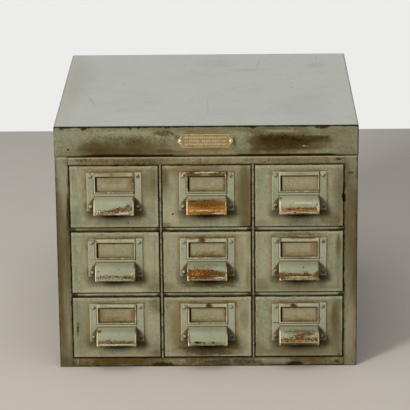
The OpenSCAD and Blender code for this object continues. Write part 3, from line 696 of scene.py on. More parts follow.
railMarks = {
    "top_rail": """
        specks -118 336 60 5 soot 0.85; dot -201 341 1.8 1.1 soot 0.9; dot -194 339 1.6 1.0 soot 0.9;
        dot -187 341.5 1.5 1.0 soot 0.85; dot -179 341 1.4 0.9 umber 0.9; dot -207 339 1.3 1.0 soot 0.8;
        dot 210 340 1.0 0.8 soot 0.9; dot 214 339.5 0.9 0.8 soot 0.8; dot 204 339 4.5 2.2 soot 0.85;
        specks 0 334 60 4 soot 0.7; speckled 130 337 30 3 umber 0.4; soft 0 338 60 7 tan 0.25;
        soft 140 338 66 7 tan 0.15; soft -212 338 14 8 greyGreen 0.55; specks -194 339 14 4 soot 0.7;
        soft -127 339 58 6 umber 0.45""",
    "bottom_rail": """
        chip -72 4 17 3.0 soot 0.85; chip 137 4 12 3.4 soot 0.85; speckled -150 8 50 5 umber 0.8;
        speckled 40 7 60 5 soot 0.5; streaked -206 8 0.7 7 chalk 0.7; dot 203 7 3 1.5 soot 0.8;
        soft 106 10 22 5 celadonDeep 0.6; soft -146 8 62 7 umber 0.6""",
    "partition_right": "soft 71.7 76 6 44 bark 0.35",
}


def frameFinish(name, seed, marks=""):
    # the narrow rails and uprights: browner than the sheets, dark in every joint
    low, high = size(name)
    finish = enamel(name, seed=seed, paint="rail", cool="olive", warm="beige", dirt=0.5, rough=0.5)
    u, v = finish.x, finish.z
    cloud, grit = finish.grainsOf("cloud", "grit")
    finish.layer((grit + cloud).rise(0.98, 1.2) * 0.6, "umber")
    if name == "bottom_rail":
        finish.layer(finish.noise(30, 3, seed=66).rise(0.36, 0.58) * 0.6, "umber")
    if high[2] - low[2] < 20:
        finish.stains(u, v, marks)
        rim = (v - low[2]).least(high[2] - v) + finish.ragged(5, 3)
        finish.layer(rim.fall(-0.3, 2.8) * 0.8, "soot")
        underCap(finish, 1.0, 0.40, 344.0, 0.9)
    else:
        # a thin pale line is left along the middle of an upright, darker lower down
        middle = abs(u - (low[0] + high[0]) / 2) + (grit - 0.5) * 1.5
        finish.layer(middle.fall(0.3, 1.2) * 0.7, "celadonDeep")
        sides = (middle + (cloud + grit).rise(1.0, 1.2) * 0.5).rise(0.6, 1.3)
        finish.layer(sides * (0.9 - v.rise(228, 250) * 0.25), "bark")
        finish.stains(u, v, marks)
    # painted shade on the faces set back in the gaps
    inner = (finish.y - low[1]) + (grit - 0.5) * 2
    finish.layer(inner.rise(1.0, 4.0) * 0.8, "soot", rough=0.7)
    return finish


railHeights = (119.7, 226.9)  # mm, the middles of the cross rails
railEnds = (-209, -75, -68, 68, 76, 209)
railSpots = [((-140, 226.9), (66, 4), 0.5, "umber"), ((140, 227.4), (60, 2.4), 0.5, "celadonDeep"),
             ((0, 119.7), (60, 4), 0.35, "umber"), ((140, 120.2), (60, 2.4), 0.5, "celadonDeep")]


def crossFinish():
    low = size("cross_rails")[0]
    finish = enamel("cross_rails", seed=61, paint="celadonDeep", cool="dusk", warm="sage", rough=0.5)
    grit, cloud = finish.grainsOf("grit", "cloud")
    # the upper half gets a painted highlight, the lower half is black with painted shade and grime, and so is
    # each end
    for z in railHeights:
        off = finish.z - z + finish.ragged(2, 2.4)
        finish.layer(off.rise(-4, -3.4) * off.fall(-1.2, 0.4) * 0.9, "soot")
        finish.layer(off.rise(0.2, 1.0) * off.fall(2.0, 2.6) * (grit + cloud).rise(0.9, 1.1) * 0.3, "chalk")
        for x in railEnds:
            finish.layer(finish.spot(finish.x, finish.z, (x, z), (6, 3), 0.4, 1.2, grit) * 0.85, "soot")
    for at, spread, amount, tone in railSpots:
        finish.layer(finish.spot(finish.x, finish.z, at, spread, 0.3, 0.6, cloud) * amount, tone)
    # painted shade on the faces set back in the gaps
    finish.layer(((finish.y - low[1]) + (grit - 0.5) * 2).rise(1.0, 4.0) * 0.8, "soot", rough=0.7)
    return finish


weldPitch = 34.6  # mm
weldAcross = 226.5  # mm, from the middle to a row of spot welds


def backFinish():
    finish = sheetFinish("back_panel", seed=71, along="x")
    grit, cloud = finish.grainsOf("grit", "cloud")
    # rows of spot welds along the upright edges, each a shallow dimple with a rusty ring
    turns = finish.z / weldPitch
    row = abs((turns - turns.math("ROUND", turns)) * weldPitch)
    across = abs(abs(finish.x) - weldAcross)
    weld = (row * row + across * across) ** 0.5
    finish.layer((weld + (grit - 0.5) * 2).fall(2.4, 4.6) * 0.55, "rust")
    finish.height = finish.height - weld.fall(1.4, 2.8) * 0.12
    rust = finish.noise(38, 4, 0.6, seed=73).rise(0.58, 0.70) * (finish.z + (cloud - 0.5) * 80).fall(40, 160)
    finish.layer(rust * grit.rise(0.4, 0.6) * 0.7, "rust", rough=0.75)
    return finish


def innerFinish(name, seed, rubbed=0.5):
    # trays and runners: thin inner enamel, rubbed to steel where they slide
    finish = enamel(name, seed=seed, paint="inner", cool="innerCool", warm="innerWarm", dirt=0.35, rough=0.5)
    cloud = finish.grain("cloud")
    lines = finish.noise(2.0, 3, 0.6, (1, 30, 1), seed=80).rise(0.56, 0.66)
    finish.layer(lines * cloud.rise(0.4, 0.6) * rubbed, "steel", height=-0.01)
    finish.layer(finish.noise(9, 4, 0.6, seed=82).rise(0.66, 0.72) * 0.75, "rust", rough=0.75)
    return finish


def trayFinish():
    # one enamel for all nine trays; up is the height above each tray's own floor
    low, high = size("drawer_r3c1_tray")
    pitch = size("drawer_r2c1_tray")[0][2] - low[2]
    finish = innerFinish("tray", 93, rubbed=0.35)
    grit, cloud = finish.grainsOf("grit", "cloud")
    turns = (finish.z - low[2] + 3) / pitch
    up = turns.math("FRACT", turns) * pitch - 3
    tall = high[2] - low[2]
    finish.layer(finish.noise(24, 4, 0.6, (1, 2.4, 1), seed=95).rise(0.52, 0.68) * 0.35, "dusk")
    slid = finish.noise(1.6, 2, 0.5, (1, 40, 1), seed=96).rise(0.48, 0.60)
    finish.layer(slid * (up + (cloud - 0.5) * 6).fall(3, 12) * 0.7, "steel", height=-0.01)
    finish.layer((up + finish.ragged(14, 5)).fall(0, 10) * 0.5, "umber", rough=0.6)
    rim = tall - up + finish.ragged(2, 2.4)
    finish.layer(rim.fall(1.4, 3.4) * 0.7, "umber")
    finish.layer(rim.fall(0.2, 1.4) * (cloud + grit).rise(0.9, 1.05) * 0.8, "steel")
    scratches(finish, 0.6, along=(1, 18, 1), seed=97)
    return finish


cap = capFinish()
dress("top_cap", cap.close(coatRough=0.28))
dress("top_deck", innerFinish("top_deck", 91).close())
dress("left_side", sideFinish("left_side", 5).close())
dress("right_side", sideFinish("right_side", 6).close())
dress("back_panel", backFinish().close())
dress("bottom_panel", sheetFinish("bottom_panel", 72, paint="olive", dirt=0.5).close())
dress("top_rail", frameFinish("top_rail", 62, railMarks["top_rail"]).close())
dress("bottom_rail", frameFinish("bottom_rail", 63, railMarks["bottom_rail"]).close())
dress("partition_left", frameFinish("partition_left", 64).close())
dress("partition_right", frameFinish("partition_right", 65, railMarks["partition_right"]).close())
dress("cross_rails", crossFinish().close())
dress("runners", innerFinish("runners", 92, rubbed=0.9).close())
trayEnamel = trayFinish().close()
for row, column in drawers:
    dress(f"drawer_r{row}c{column}_tray", trayEnamel)
print("carcass finished")


def build(name, body, slot, material, points, faces, bevel=0.0, smooth=40):
    # a mesh object from points in millimetres, carried by a body
    mesh = bpy.data.meshes.new(name)
    mesh.from_pydata([[value * mm for value in point] for point in points], [], faces)
    mesh.validate()
    mesh.materials.append(material)
    form = bmesh.new()
    form.from_mesh(mesh)
    bmesh.ops.recalc_face_normals(form, faces=form.faces)
    form.to_mesh(mesh)
    form.free()
    mesh.polygons.foreach_set("use_smooth", [True] * len(mesh.polygons))
    mesh.set_sharp_from_angle(angle=math.radians(smooth))
    item = bpy.data.objects.new(name, mesh)
    bpy.context.scene.collection.objects.link(item)
    if bevel:
        edge = item.modifiers.new("bevel", "BEVEL")
        edge.width = bevel * mm
        edge.segments = 2
        edge.limit_method = "ANGLE"
        edge.angle_limit = math.radians(40)
        edge.harden_normals = True
    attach(item, body)
    return item


def thickGrid(outer, inner):
    # faces of a sheet given as two grids of points, closed round its border
    rows, columns = len(outer), len(outer[0])
    points = [point for line in outer for point in line] + [point for line in inner for point in line]
    half = rows * columns
    faces = []
    for i in range(rows - 1):
        for j in range(columns - 1):
            k = i * columns + j
            faces.append((k, k + 1, k + columns + 1, k + columns))
            faces.append((half + k, half + k + columns, half + k + columns + 1, half + k + 1))
    border = [j for j in range(columns)] + [i * columns + columns - 1 for i in range(1, rows)]
    border += [(rows - 1) * columns + j for j in range(columns - 2, -1, -1)]
    border += [i * columns for i in range(rows - 2, 0, -1)]
    for here, there in zip(border, border[1:] + border[:1]):
        faces.append((here, half + here, half + there, there))
    return points, faces


def flatSheet(outline, back, front):
    # a flat sheet from its outline in x and z, between two depths
    count = len(outline)
    points = [(x, back, z) for x, z in outline] + [(x, front, z) for x, z in outline]
    faces = [tuple(range(count)), tuple(range(2 * count - 1, count - 1, -1))]
    for i in range(count):
        j = (i + 1) % count
        faces.append((i, i + count, j + count, j))
    return points, faces


def cutSheet(xs, zs, filled, back, front):
    # a flat sheet on a grid of cuts, with only some of its cells filled
    points, faces, index = [], [], {}

    def spot(i, j, y):
        key = (i, j, y)
        if key not in index:
            index[key] = len(points)
            points.append((xs[i], y, zs[j]))
        return index[key]

    for i, j in filled:
        corners = [(i, j), (i + 1, j), (i + 1, j + 1), (i, j + 1)]
        faces.append([spot(a, b, front) for a, b in corners])
        faces.append([spot(a, b, back) for a, b in reversed(corners)])
        neighbours = [(i, j - 1), (i + 1, j), (i, j + 1), (i - 1, j)]
        for k, near in enumerate(neighbours):
            if near not in filled:
                (a, b), (c, d) = corners[k], corners[(k + 1) % 4]
                faces.append([spot(a, b, front), spot(a, b, back), spot(c, d, back), spot(c, d, front)])
    return points, faces


def together(*forms):
    points, faces = [], []
    for some, shapes in forms:
        faces += [[k + len(points) for k in shape] for shape in shapes]
        points += some
    return points, faces


rivetOut = 36.8  # mm, from a pull's middle to its rivets
hood = {"halfWidth": 31, "radius": 24, "sheet": 0.9, "round": 2.6, "steps": 14, "shoulder": 0.6, "slant": 13,
        "ear": 11, "holderBottom": 34.3, "lip": 62.9, "plateBottom": 62.5, "opening": 39.8}


def hoodForm(centre, frontY, top):
    half, radius, sheet, turn = hood["halfWidth"], hood["radius"], hood["sheet"], hood["round"]
    seat = frontY - sheet
    axis = top - hood["lip"]
    stations = []  # x and radius, outer and inner, from one end plate to the other
    stations.append(((half, 0.05), (half - sheet, 0.05)))
    for k in range(7):
        angle = math.radians(90 - 15 * k)
        wide, slim = ((half - turn + bend * math.sin(angle), radius - turn + bend * math.cos(angle))
                      for bend in (turn, turn - sheet))
        stations.append((wide, slim))
    mirrored = [((-wide[0], wide[1]), (-slim[0], slim[1])) for wide, slim in reversed(stations)]
    grids = [[], []]
    for pair in stations + mirrored:
        for grid, (x, r) in zip(grids, pair):
            line = []
            for k in range(hood["steps"] + 1):
                angle = math.radians(90 * k / hood["steps"])
                line.append((centre + x, seat - r * math.sin(angle), axis + r * math.cos(angle)))
            grid.append(line)
    shell = thickGrid(*grids)
    shoulder = top - hood["lip"] + radius - hood["shoulder"]
    ear, bottom = half + hood["ear"], top - hood["plateBottom"]
    right = [(half, top - hood["holderBottom"]), (half, shoulder), (ear, shoulder - hood["slant"]),
             (ear, bottom), (half - sheet, bottom), (half - sheet, top - hood["opening"])]
    left = [(-x, z) for x, z in reversed(right)]
    outline = [(centre + x, z) for x, z in right + left]
    return together(shell, flatSheet(outline, seat, seat - sheet))


cardHolder = {"halfWidth": 31, "top": 0.4, "bottom": 34.3, "proud": 3.0, "sheet": 0.9, "windowHalf": 28.75,
              "windowTop": 7.0, "windowBottom": 31.5, "plateHalf": 43, "plateBottom": 62.5, "strap": 15,
              "opening": 39.8}


def holderForm(centre, frontY, top):
    look = cardHolder
    sheet = look["sheet"]
    outer = (look["halfWidth"], top - look["bottom"], top - look["top"])
    window = (look["windowHalf"], top - look["windowBottom"], top - look["windowTop"])

    def ring(base, inset, depth):
        half, low, high = base[0] - inset, base[1] + inset, base[2] - inset
        corner = max(0.15, 0.9 - inset) if base is outer else 0.3
        line = []
        for sx, sz, start in ((1, 1, 0), (-1, 1, 90), (-1, -1, 180), (1, -1, 270)):
            for k in range(4):
                angle = math.radians(start + 30 * k)
                x = sx * (half - corner) + corner * math.cos(angle)
                z = (high - corner if sz > 0 else low + corner) + corner * math.sin(angle)
                line.append((centre + x, frontY - depth, z))
        return line

    proud = look["proud"]
    rings = [ring(outer, 0, sheet), ring(outer, 0, proud - 0.75), ring(outer, 0.2, proud - 0.25),
             ring(outer, 0.7, proud - 0.02), ring(window, -0.55, proud), ring(window, -0.15, proud - 0.1),
             ring(window, 0, proud - 0.4), ring(window, 0, proud - sheet), ring(outer, sheet, proud - sheet),
             ring(outer, sheet, sheet)]
    count = len(rings[0])
    points = [point for line in rings for point in line]
    faces = []
    for i in range(len(rings)):
        below = (i + 1) % len(rings)
        for j in range(count):
            k = (j + 1) % count
            faces.append((i * count + j, i * count + k, below * count + k, below * count + j))
    inner = look["halfWidth"] - sheet
    slot = look["plateHalf"] - look["strap"]
    xs = [centre + x for x in (-look["plateHalf"], -inner, -slot, slot, inner, look["plateHalf"])]
    drops = (look["plateBottom"], look["opening"], look["bottom"] - sheet, look["top"] + sheet, 0)
    zs = [top - drop for drop in drops]
    filled = [(i, j) for i in range(5) for j in range(4)
              if (i in (0, 4)) or (j == 1) or (j == 3) or (j == 0 and i in (1, 3))]
    return together((points, faces), cutSheet(xs, zs, filled, frontY, frontY - sheet))


hoodMarks = {  # from the hood's centre, and up from its lip as it is seen
    (1, 1): """
        torn 5 7.4 27 3.2 rust 0.9 9; torn 6 4.8 25 2.8 clay 0.9 6; torn 12 9.2 15 1.8 copper 0.4 9;
        chip 22 15 3 1.4 soot 0.9 25; chip 27 11 2 2.4 umber 0.8; specks 10 8 24 7 soot 0.9;
        streaked 17 4.0 12 1.4 chalk 0.8 8; chip -25 4.5 3 2 umber 0.8; speckled 24 15 7 9 olive 0.5;
        specks -24 4 7 4 cream 0.9""",
    (1, 2): """
        worn 0 8 44 16 copper 0.95; soft 0 18.5 44 6.5 rust 0.85; speckled 0 18 38 7 umber 0.45;
        specks 0 12 30 10 soot 0.7; streaked 8 10 22 1.2 rust 0.7; streaked -4 7.4 26 1.2 brass 0.45;
        soft 0 2.4 32 3.0 umber 0.6; streaked 17 2.6 9 1.4 chalk 0.8; specks 0 23.5 30 2.4 soot 0.9;
        chip -22 22.5 6 1.2 soot 0.8""",
    # the cream streak at height 18.5 is a painted highlight across the hood
    (1, 3): """
        worn 2 7.6 27 3.4 rust 0.95; streaked 2 6.8 26 2.0 copper 0.8; streaked 4 3.0 24 1.1 chalk 0.6;
        specks 0 10 29 8 soot 0.85; chip -14 14 0.9 2.4 umber 0.9; chip -7 2.6 3.4 1.0 soot 0.9;
        chip 10 8 2.4 1.2 umber 0.9; chip 2 1.6 16 1.2 bark 0.8; dot -28 26 1.6 1.6 soot 0.8;
        speckled -4 15 24 6 beige 0.6; streaked 8 18.5 15 0.8 cream 0.4; worn 29 9 2.4 6 brass 0.9""",
    (2, 1): """
        torn 12 6.4 17 1.5 ochre 0.9 -4; torn -10 6.2 20 1.2 dusk 0.7 2;
        streaked -8 4.8 20 0.9 brass 0.35 2; chip -26 16 1.6 1.0 soot 0.85 30;
        chip 5 20 2.4 1.0 rust 0.6 10; specks -14 4 18 3 umber 0.9; specks 24 8 7 6 umber 0.9;
        chip 26 12 1.6 1.6 brass 0.6""",
    (2, 2): """
        worn -10 12.6 20 7.0 copper 0.95; worn 13 12 17 4.0 rust 0.95 -3; soft -10 16 18 3.0 rust 0.8;
        torn -2 5.6 28 4.0 rust 0.95; specks -2 12 30 10 soot 0.9; streaked 4 7.2 26 1.4 umber 0.8 2;
        specks -4 22 28 4 umber 0.95; streaked 18 4.6 11 1.6 chalk 0.8; torn 0 2.0 27 1.4 clay 0.7;
        specks 0 26 24 3 soot 0.6""",
    (2, 3): """
        worn 10 8.6 4.8 4.2 rust 0.95; torn -2 8.6 24 2.0 rust 0.9 -3; torn 2 4.6 27 1.6 tan 0.8;
        dot 6 21 1.2 1.3 soot 0.8; specks 0 7 30 6 soot 0.55; streaked 4 5.6 18 0.8 brass 0.6""",
    (3, 1): """
        torn 2 6.0 31 2.6 dusk 0.95 -2; torn 0 6.4 28 1.6 ochre 0.8 -2; streaked 4 2.8 28 1.0 cream 0.45;
        dot -27 24 3.2 2.2 umber 0.9; specks 0 5 30 3.4 soot 0.9; chip 20 6.6 4 1.2 umber 0.8""",
    (3, 2): """
        soft 0 1.6 34 5.0 olive 0.7; chip -16 5.6 6.4 1.8 soot 0.95; chip -6 5.0 2.2 1.6 soot 0.9;
        chip 7 5.4 3.6 1.8 soot 0.9; chip -29.5 20 0.9 5 umber 0.9; specks 12 5 18 4 soot 0.9;
        speckled 8 9 26 6 beige 0.45""",
    # the soft bark band at height 1.2 is painted shade along the lip
    (3, 3): """
        torn 5 22 13 1.4 ochre 0.9; torn 5 16.5 12 2.0 rust 0.85 12; streaked 8 19 14 1.0 umber 0.7;
        torn 2 9.0 30 2.4 rust 0.95; torn 0 8.0 24 1.0 copper 0.7; specks 0 13 28 12 umber 0.35;
        specks -24 7 9 6 soot 0.95; speckled -4 22 26 5 olive 0.35; soft 0 4.0 30 1.8 clay 0.5;
        soft 0 1.2 34 3.0 bark 0.8""",
}


lateHoodMarks = {  # worn through the bright side edges
    (2, 3): "worn -27 8 6 5 rust 0.95; worn 28 8.5 5 5 rust 0.95; soft 29 4 4 6 umber 0.25",
    (2, 2): "worn -28 12 3.4 6 rust 0.85",
    (1, 2): "soft 29.5 4 2.6 6 tan 0.6",
    (1, 3): "soft -29.5 4 2.6 6 tan 0.6",
    (3, 2): "chip -29.4 12 1.3 8 umber 0.8; dot -28 6 1.6 1.2 bark 0.8",
    # the soft bark band at height 0.6 is painted shade along the lip
    (3, 3): "soft 0 0.6 36 3.2 bark 0.75",
}


# how much of the grime the right ear lacks
cleanEars = {(1, 1): 0.0, (1, 2): 0.36, (1, 3): 0.40, (2, 3): 0.50}


def hoodFinish(row, column, centre, frontY, top):
    finish = enamel(f"hood_r{row}c{column}", seed=100 + row * 10 + column, paint="celadon",
                    cool="celadonDeep", warm="celadon", dirt=0.16, rough=0.5)
    finish.gloss = 0.4
    cloud, grit = finish.grainsOf("cloud", "grit")
    u = finish.x - centre
    drop = frontLook["seenDrop"]
    lipSeen = top - hood["lip"] - drop * (hood["radius"] + hood["sheet"])
    v = finish.z - drop * (frontY - finish.y) - lipSeen
    shell = finish.y.fall(frontY - 2.6, frontY - 2.0)
    finish.stains(u, v, hoodMarks[row, column], shell)
    # the rounded side edges and the lip are rubbed to bright brass, more so lower down;
    #     # the cream on the side edges is also a painted highlight, full on the left
    back, over = finish.y - frontY + hood["sheet"], finish.z - top + hood["lip"]
    rolled = ((back * back + over * over) ** 0.5).rise(hood["radius"] - 3.4, hood["radius"] - 1.6) * shell
    left = (u + hood["halfWidth"]) + finish.ragged(1.6, 2.2)
    right = (hood["halfWidth"] - u) + finish.ragged(1.6, 2.2)
    down = (v + (cloud - 0.5) * 20).fall(17, 27)
    finish.layer(left.least(right).fall(1.4, 3.4) * rolled * 0.7, "ochre")
    finish.layer(left.fall(0.7, 1.9) * rolled * down, "cream")
    finish.layer(right.fall(1.1, 2.6) * rolled * down * (cloud + grit).rise(0.86, 1.0), "cream")
    lip = v + (grit - 0.5) * 1.6
    finish.layer(lip.fall(1.2, 2.2) * shell * (cloud + grit).rise(1.0, 1.1) * 0.4, "cream")
    finish.layer(lip.fall(0.7, 1.8) * shell * (abs(u).fall(24, 31)) * 0.85, "bark")
    finish.stains(u, v, lateHoodMarks.get((row, column), ""), shell)
    # over the hood the flange has a pale edge as painted highlight, painted shadow under the holder and a
    # dark fold;
    #     # the ears hold grime
    finish.layer(v.rise(27, 30) * (1 - abs(u).rise(29, 31)) * 0.3, "chalk")
    fold = abs(v - 31.5) + (grit - 0.5) * 1.6
    finish.layer(fold.fall(0.3, 1.8) * 0.75, "umber")
    litCrest = abs(v - 33.2) + (grit - 0.5) * 1.4
    finish.layer(litCrest.fall(0.5, 1.4) * (1 - shell) * 0.5, "chalk")
    finish.layer((v + (grit - 0.5)).rise(34.2, 34.8) * (1 - shell) * 0.9, "soot")
    ear = (abs(u) - hood["halfWidth"]) + (grit - 0.5) * 2
    clean = u.rise(30, 34) * cleanEars.get((row, column), 0.22)
    finish.layer(ear.rise(-0.6, 0.2) * ear.fall(4, 13) * (1 - shell) * (0.9 - clean), "umber")
    slope = (-38.9 - hood["shoulder"] - (abs(u) - hood["halfWidth"]) * 1.18 - (finish.z - top)) * 0.65
    slope = slope.least(hood["halfWidth"] + hood["ear"] - abs(u)) + (grit - 0.5) * 1.2
    outside = (abs(u) - hood["halfWidth"]).rise(0, 0.6)
    finish.layer(slope.fall(0.4, 1.3) * outside * (1 - shell) * 0.22, "chalk")
    # a painted shadow right of each lower rivet
    for x in (-rivetOut, rivetOut):
        ring = finish.spot(u, finish.z - top, (x + 0.9, -56.6), (3.4, 3.1), 0.3, 0.6, grit)
        finish.layer(ring * (1 - shell) * 0.75, "soot")
    return finish.close(coatRough=0.32)


# the soft chalk marks at x 30.2 are painted highlights on the holders' right edges
holderMarks = {  # from the plate's top centre
    (1, 1): """
        worn -33 -2.5 3 2.4 ivory 0.6; soft 0 -3.6 26 2.4 dusk 0.55; streaked -20 -1 16 1.2 ochre 0.8;
        chip -3 -3.6 0.6 3.2 umber 0.8; chip 28 -31.6 3 1.2 ivory 0.5; soft 30.2 -18 1.1 11 chalk 0.5;
        worn 30 -20 1.4 12 rust 0.6; streaked 0 -33 28 0.8 umber 0.2""",
    (1, 2): """
        worn -20 -4 12 4.5 rust 0.85; worn 20 -4.5 13 3.5 rust 0.8; soft 0 -4.6 18 2.8 umber 0.55;
        torn 2 -1.2 18 0.9 chalk 0.8; worn -34 -3 3 2.4 ivory 0.5; streaked -29.5 -18 1.4 13 rust 0.8;
        streaked 0 -6.8 28 1.0 rust 0.9; worn 29 -8 2.5 4 copper 0.8""",
    (1, 3): """
        worn -39 -3 3.4 2.4 ivory 0.5; worn 36 -3.4 4 3 ivory 0.6; chip -36 -6 1.6 1.6 ivory 0.5;
        soft 0 -3.6 26 2.4 dusk 0.4; streaked 0 -33 26 0.8 umber 0.35""",
    (2, 1): """
        soft 30.2 -18 1.3 13 chalk 0.7; chip -30 -5 1.8 2.2 rust 0.85; streaked -30 -19 0.9 13 copper 0.6;
        worn -37 -2 4 1.6 ivory 0.35; chip 2 -1 1.4 1.8 ochre 0.8; streaked -4 -33.4 26 1.0 ochre 0.7;
        chip -29.6 -26 0.9 4 ochre 0.5""",
    (2, 2): """
        worn -8 -3.5 4.4 3.0 rust 0.95; chip -8 -2.8 2.6 1.8 bark 0.6; streaked -26 -1.5 6 1.2 ochre 0.7;
        chip -18 -33 4 1.3 chalk 0.7""",
    (2, 3): """
        streaked 8 -1 24 1.3 rust 0.8; streaked 14 -34.2 19 0.9 soot 0.85; chip 28 -2 4 1.6 brass 0.5;
        worn -30 -5 2 3 rust 0.5""",
    (3, 1): """
        chip -28 -4.5 3 1.8 ivory 0.4; streaked -2 -6.6 26 0.9 ochre 0.85; soft 30.2 -18 1.3 13 chalk 0.8;
        worn 29.6 -10 1.2 4 brass 0.4""",
    (3, 2): """
        worn 2 -4.2 4.4 3.8 rust 0.98; chip 2 -3.4 2.8 2.2 bark 0.75; chip -12 -33.6 5 1.0 ochre 0.7;
        soft 30.2 -18 1.3 13 chalk 0.75; worn -30 -8 1.4 2 umber 0.4""",
    (3, 3): """
        streaked -37 -1.4 6 1.4 rust 0.75; worn -9 -4 4.2 2.8 rust 0.95; chip -9 -3.4 2.8 1.8 bark 0.7;
        chip -37 -33.5 5 0.9 soot 0.9; worn 30 -28 3 2 brass 0.6; streaked -20 -1 12 1 ochre 0.7""",
}


def holderFinish(row, column, centre, frontY, top):
    finish = enamel(f"card_frame_r{row}c{column}", seed=200 + row * 10 + column, paint="pullGreen",
                    cool="strap", warm="celadonDeep", dirt=0.18, rough=0.4)
    cloud, grit = finish.grainsOf("cloud", "grit")
    u = finish.x - centre
    v = finish.z - top
    look = cardHolder
    # painted shade and grime against the holder, tarnish along the plate's rim, and a painted shadow by each
    # rivet
    holder = finish.outside(u, v, (-look["halfWidth"], -look["bottom"]), (look["halfWidth"], -look["top"]))
    plate = finish.y.rise(frontY - 1.4, frontY - 1.0)
    finish.layer((holder + (grit - 0.5) * 1.6).fall(0.4, 2.2) * plate * 0.75, "umber")
    rim = finish.inside(u, v, (-look["plateHalf"], -look["plateBottom"]), (look["plateHalf"], 0))
    finish.layer((rim + finish.ragged(2, 1.8)).fall(0.2, 1.4) * 0.7, "ochre")
    # a painted highlight along the plate's left and top edges
    highlight = (u + look["plateHalf"]).least(-v) + (grit - 0.5) * 1.6
    finish.layer(highlight.rise(0.5, 1.1) * highlight.fall(1.8, 2.8) * plate * 0.4, "chalk")
    proud = 1 - plate
    ragged = finish.ragged(1.4, 1.4)
    rub = -v - look["top"] + ragged
    # a painted highlight on the holder's left edge
    finish.layer((u + look["halfWidth"] + ragged * 0.7).fall(1.2, 2.4) * proud * 0.95, "chalk")
    finish.layer((v + 0.4).rise(-7.5, -5.0) * proud * (cloud + grit).fall(0.9, 1.15) * 0.5, "chalk")
    finish.layer(rub.fall(0.3, 1.0) * proud * 0.5, "umber")
    finish.stains(u, v, holderMarks[row, column])
    # a painted shadow right of each upper rivet
    for x in (-rivetOut, rivetOut):
        ring = finish.spot(u, v, (x + 0.8, -7.4), (3.1, 3.1), 0.2, 0.5, grit)
        finish.layer(ring * plate * 0.7, "soot")
    window = finish.outside(u, v, (-look["windowHalf"], -look["windowBottom"]),
                            (look["windowHalf"], -look["windowTop"]))
    finish.layer((window + (grit - 0.5) * 1.6 + (cloud - 0.5)).fall(0.2, 1.2) * proud * 0.7, "umber")
    lit = (look["windowHalf"] - u).least(v + look["windowBottom"]) + (grit - 0.5) * 1.2
    bright = lit.rise(-2.0, -1.2) * lit.fall(-0.6, 0.2) * proud
    finish.layer(bright * (cloud + grit).rise(1.04, 1.16) * 0.35, "cream")
    return finish.close()


# the lower rivets on the right ears are darkened as painted shade from the hoods, the others with dirt
shadedAndSootedRivets = [(-106.7, 314.1), (37.4, 264.8), (107.0, 264.8), (180.3, 264.8), (180.3, 206.9), (37.2, 157.9),
                (-106.7, 157.9), (106.9, 157.9), (180.3, 157.9), (-106.7, 50.7), (37.0, 50.7), (106.9, 50.7)]


def rivetFinish():
    finish = enamel("rivets", seed=15, paint="celadon", cool="strap", warm="celadonDeep", dirt=0.4, rough=0.4)
    finish.layer(finish.grain("speck").rise(0.58, 0.66) * 0.4, "brass")
    finish.layer(finish.noise(5, 2, seed=16).rise(0.5, 0.6) * 0.35, "umber")
    for place in shadedAndSootedRivets:
        finish.stain(finish.x, finish.z, "dot", place, (1.7, 1.7), "soot", 0.9)
    finish.gloss = 0.9
    return finish.close(coatRough=0.22)


rivetEnamel = rivetFinish()
for row, column in drawers:
    drawer = f"drawer_r{row}c{column}"
    plateLow, plateHigh = size(drawer + "_card_frame")
    centre = (plateLow[0] + plateHigh[0]) / 2
    frontY = plateHigh[1]
    place = (centre, frontY, plateHigh[2])
    shell = build(f"hood_r{row}c{column}", drawer, "pull_paint", hoodFinish(row, column, *place),
                  *hoodForm(*place))
    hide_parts(drawer + "_hood")
    holder = build(f"card_frame_r{row}c{column}", drawer, "pull_paint", holderFinish(row, column, *place),
                   *holderForm(*place), bevel=0.18)
    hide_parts(drawer + "_card_frame")
    dress(drawer + "_rivets", rivetEnamel)
print("pulls modelled and finished")


plate = {"halfWidth": 36.25, "halfHeight": 10.5, "lobe": 3.6, "scallop": 8.4, "pinOut": 2.6, "thick": 0.8,
         "field": 0.5, "rim": 1.1, "steps": 6}


def plateOutline(inset):
    # a quarter from the top middle to the end lobe, then its three mirror images
    w, h = plate["halfWidth"], plate["halfHeight"]
    hollow, lobe = plate["scallop"] + inset, plate["lobe"] - inset
    meet = math.atan2(h, plate["scallop"] - plate["pinOut"])
    first = math.asin(inset / hollow)
    quarter = [(0, h - inset)]
    for k in range(plate["steps"] + 1):
        angle = math.pi + first + (meet - first) * k / plate["steps"]
        quarter.append((w + plate["scallop"] + hollow * math.cos(angle), h + hollow * math.sin(angle)))
    for k in range(1, plate["steps"] + 1):
        angle = meet * (1 - k / plate["steps"])
        quarter.append((w + plate["pinOut"] + lobe * math.cos(angle), lobe * math.sin(angle)))
    lower = [(x, -z) for x, z in reversed(quarter[:-1])]
    rightHalf = quarter + lower
    leftHalf = [(-x, z) for x, z in reversed(rightHalf[1:-1])]
    return rightHalf + leftHalf


def plateForm(centre, backY, middle):
    rim = plate["rim"]
    steps = [(0, 0), (0, plate["thick"] - 0.2), (0.18, plate["thick"]), (rim, plate["thick"]),
             (rim + 0.2, plate["field"])]
    rings = [[(centre + x, backY - depth, middle + z) for x, z in plateOutline(inset)]
             for inset, depth in steps]
    count = len(rings[0])
    points = [point for line in rings for point in line]
    faces = [tuple(range(count - 1, -1, -1)), tuple(range((len(rings) - 1) * count, len(rings) * count))]
    for i in range(len(rings) - 1):
        for j in range(count):
            k = (j + 1) % count
            faces.append((i * count + j, i * count + k, (i + 1) * count + k, (i + 1) * count + j))
    return points, faces


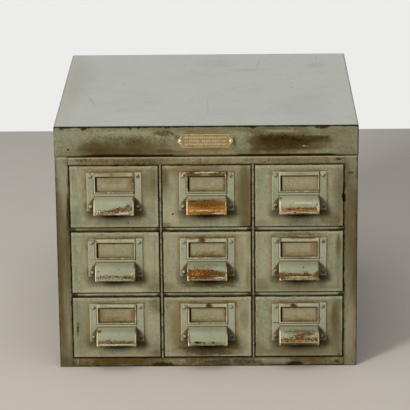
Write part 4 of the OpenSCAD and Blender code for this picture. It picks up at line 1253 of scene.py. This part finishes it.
def plateFinish(centre, middle, backY):
    finish = Finish("nameplate", palette["plateBrass"], 0.42, metal=0.25, seed=7)
    cloud, grit = finish.grainsOf("cloud", "grit")
    u = finish.x - centre
    v = finish.z - middle
    field = finish.y.rise(backY - 0.62, backY - 0.56)
    finish.layer(finish.noise(9, 3, 0.6, seed=2).rise(0.45, 0.65) * 0.5, "tan")
    finish.layer(field * 0.45, "ochre")
    finish.layer(field * 0.3, "tan")
    # three ruled lines across the field, beaded and worn through in places
    beads = abs((u / 2.9).math("FRACT", u / 2.9) - 0.5).fall(0.22, 0.40)
    for line in (5.4, 0.0, -5.2):
        rule = abs(v - line).fall(0.7, 1.5) * (33 - abs(u)).rise(0, 1)
        finish.layer(rule * field * beads * (grit + cloud).rise(0.76, 0.92) * 0.75, "ivory")
    finish.layer(abs(v).rise(8.6, 9.2) * field * 0.5, "umber")
    edges = (1 - field) * abs(v).rise(8.6, 9.6) * abs(u).fall(34, 37)
    finish.layer(edges * (cloud + grit).rise(0.85, 1.05) * 0.45, "ivory")
    finish.layer(grit.rise(0.54, 0.66) * 0.5, "umber")
    # the end lobes are worn bright and painted as highlights, weaker on the right
    finish.layer((abs(u) - 36.5).rise(0, 1.5) * (1 - field) * (0.8 - u.rise(30, 36) * 0.3), "cream")
    for x in (-38.85, 38.85):
        finish.layer(finish.spot(u, v, (x, 0), (2.4, 2.4), 0.3, 0.6, grit) * 0.2, "umber")
    finish.height = grit * 0.03
    return finish.close()


def pinFinish():
    finish = Finish("plate_pins", palette["cream"], 0.4, metal=0.15, seed=8)
    finish.layer(finish.grain("speck").rise(0.5, 0.62) * 0.35, "ochre")
    return finish.close()


def screwFinish():
    finish = Finish("screws", palette["steel"], 0.42, metal=0.7, seed=9)
    finish.layer(finish.grain("speck").rise(0.5, 0.62) * 0.5, "rust", rough=0.7)
    return finish.close()


plateLow, plateHigh = size("nameplate")
plateCentre = (plateLow[0] + plateHigh[0]) / 2
plateMiddle = (plateLow[2] + plateHigh[2]) / 2
brassPlate = build("nameplateBrass", "cabinet", "brass", plateFinish(plateCentre, plateMiddle, plateHigh[1]),
                   *plateForm(plateCentre, plateHigh[1], plateMiddle))
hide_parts("nameplate")
dress("nameplate_pins", pinFinish())
dress("cap_screws", screwFinish())
print("nameplate and fixings finished")
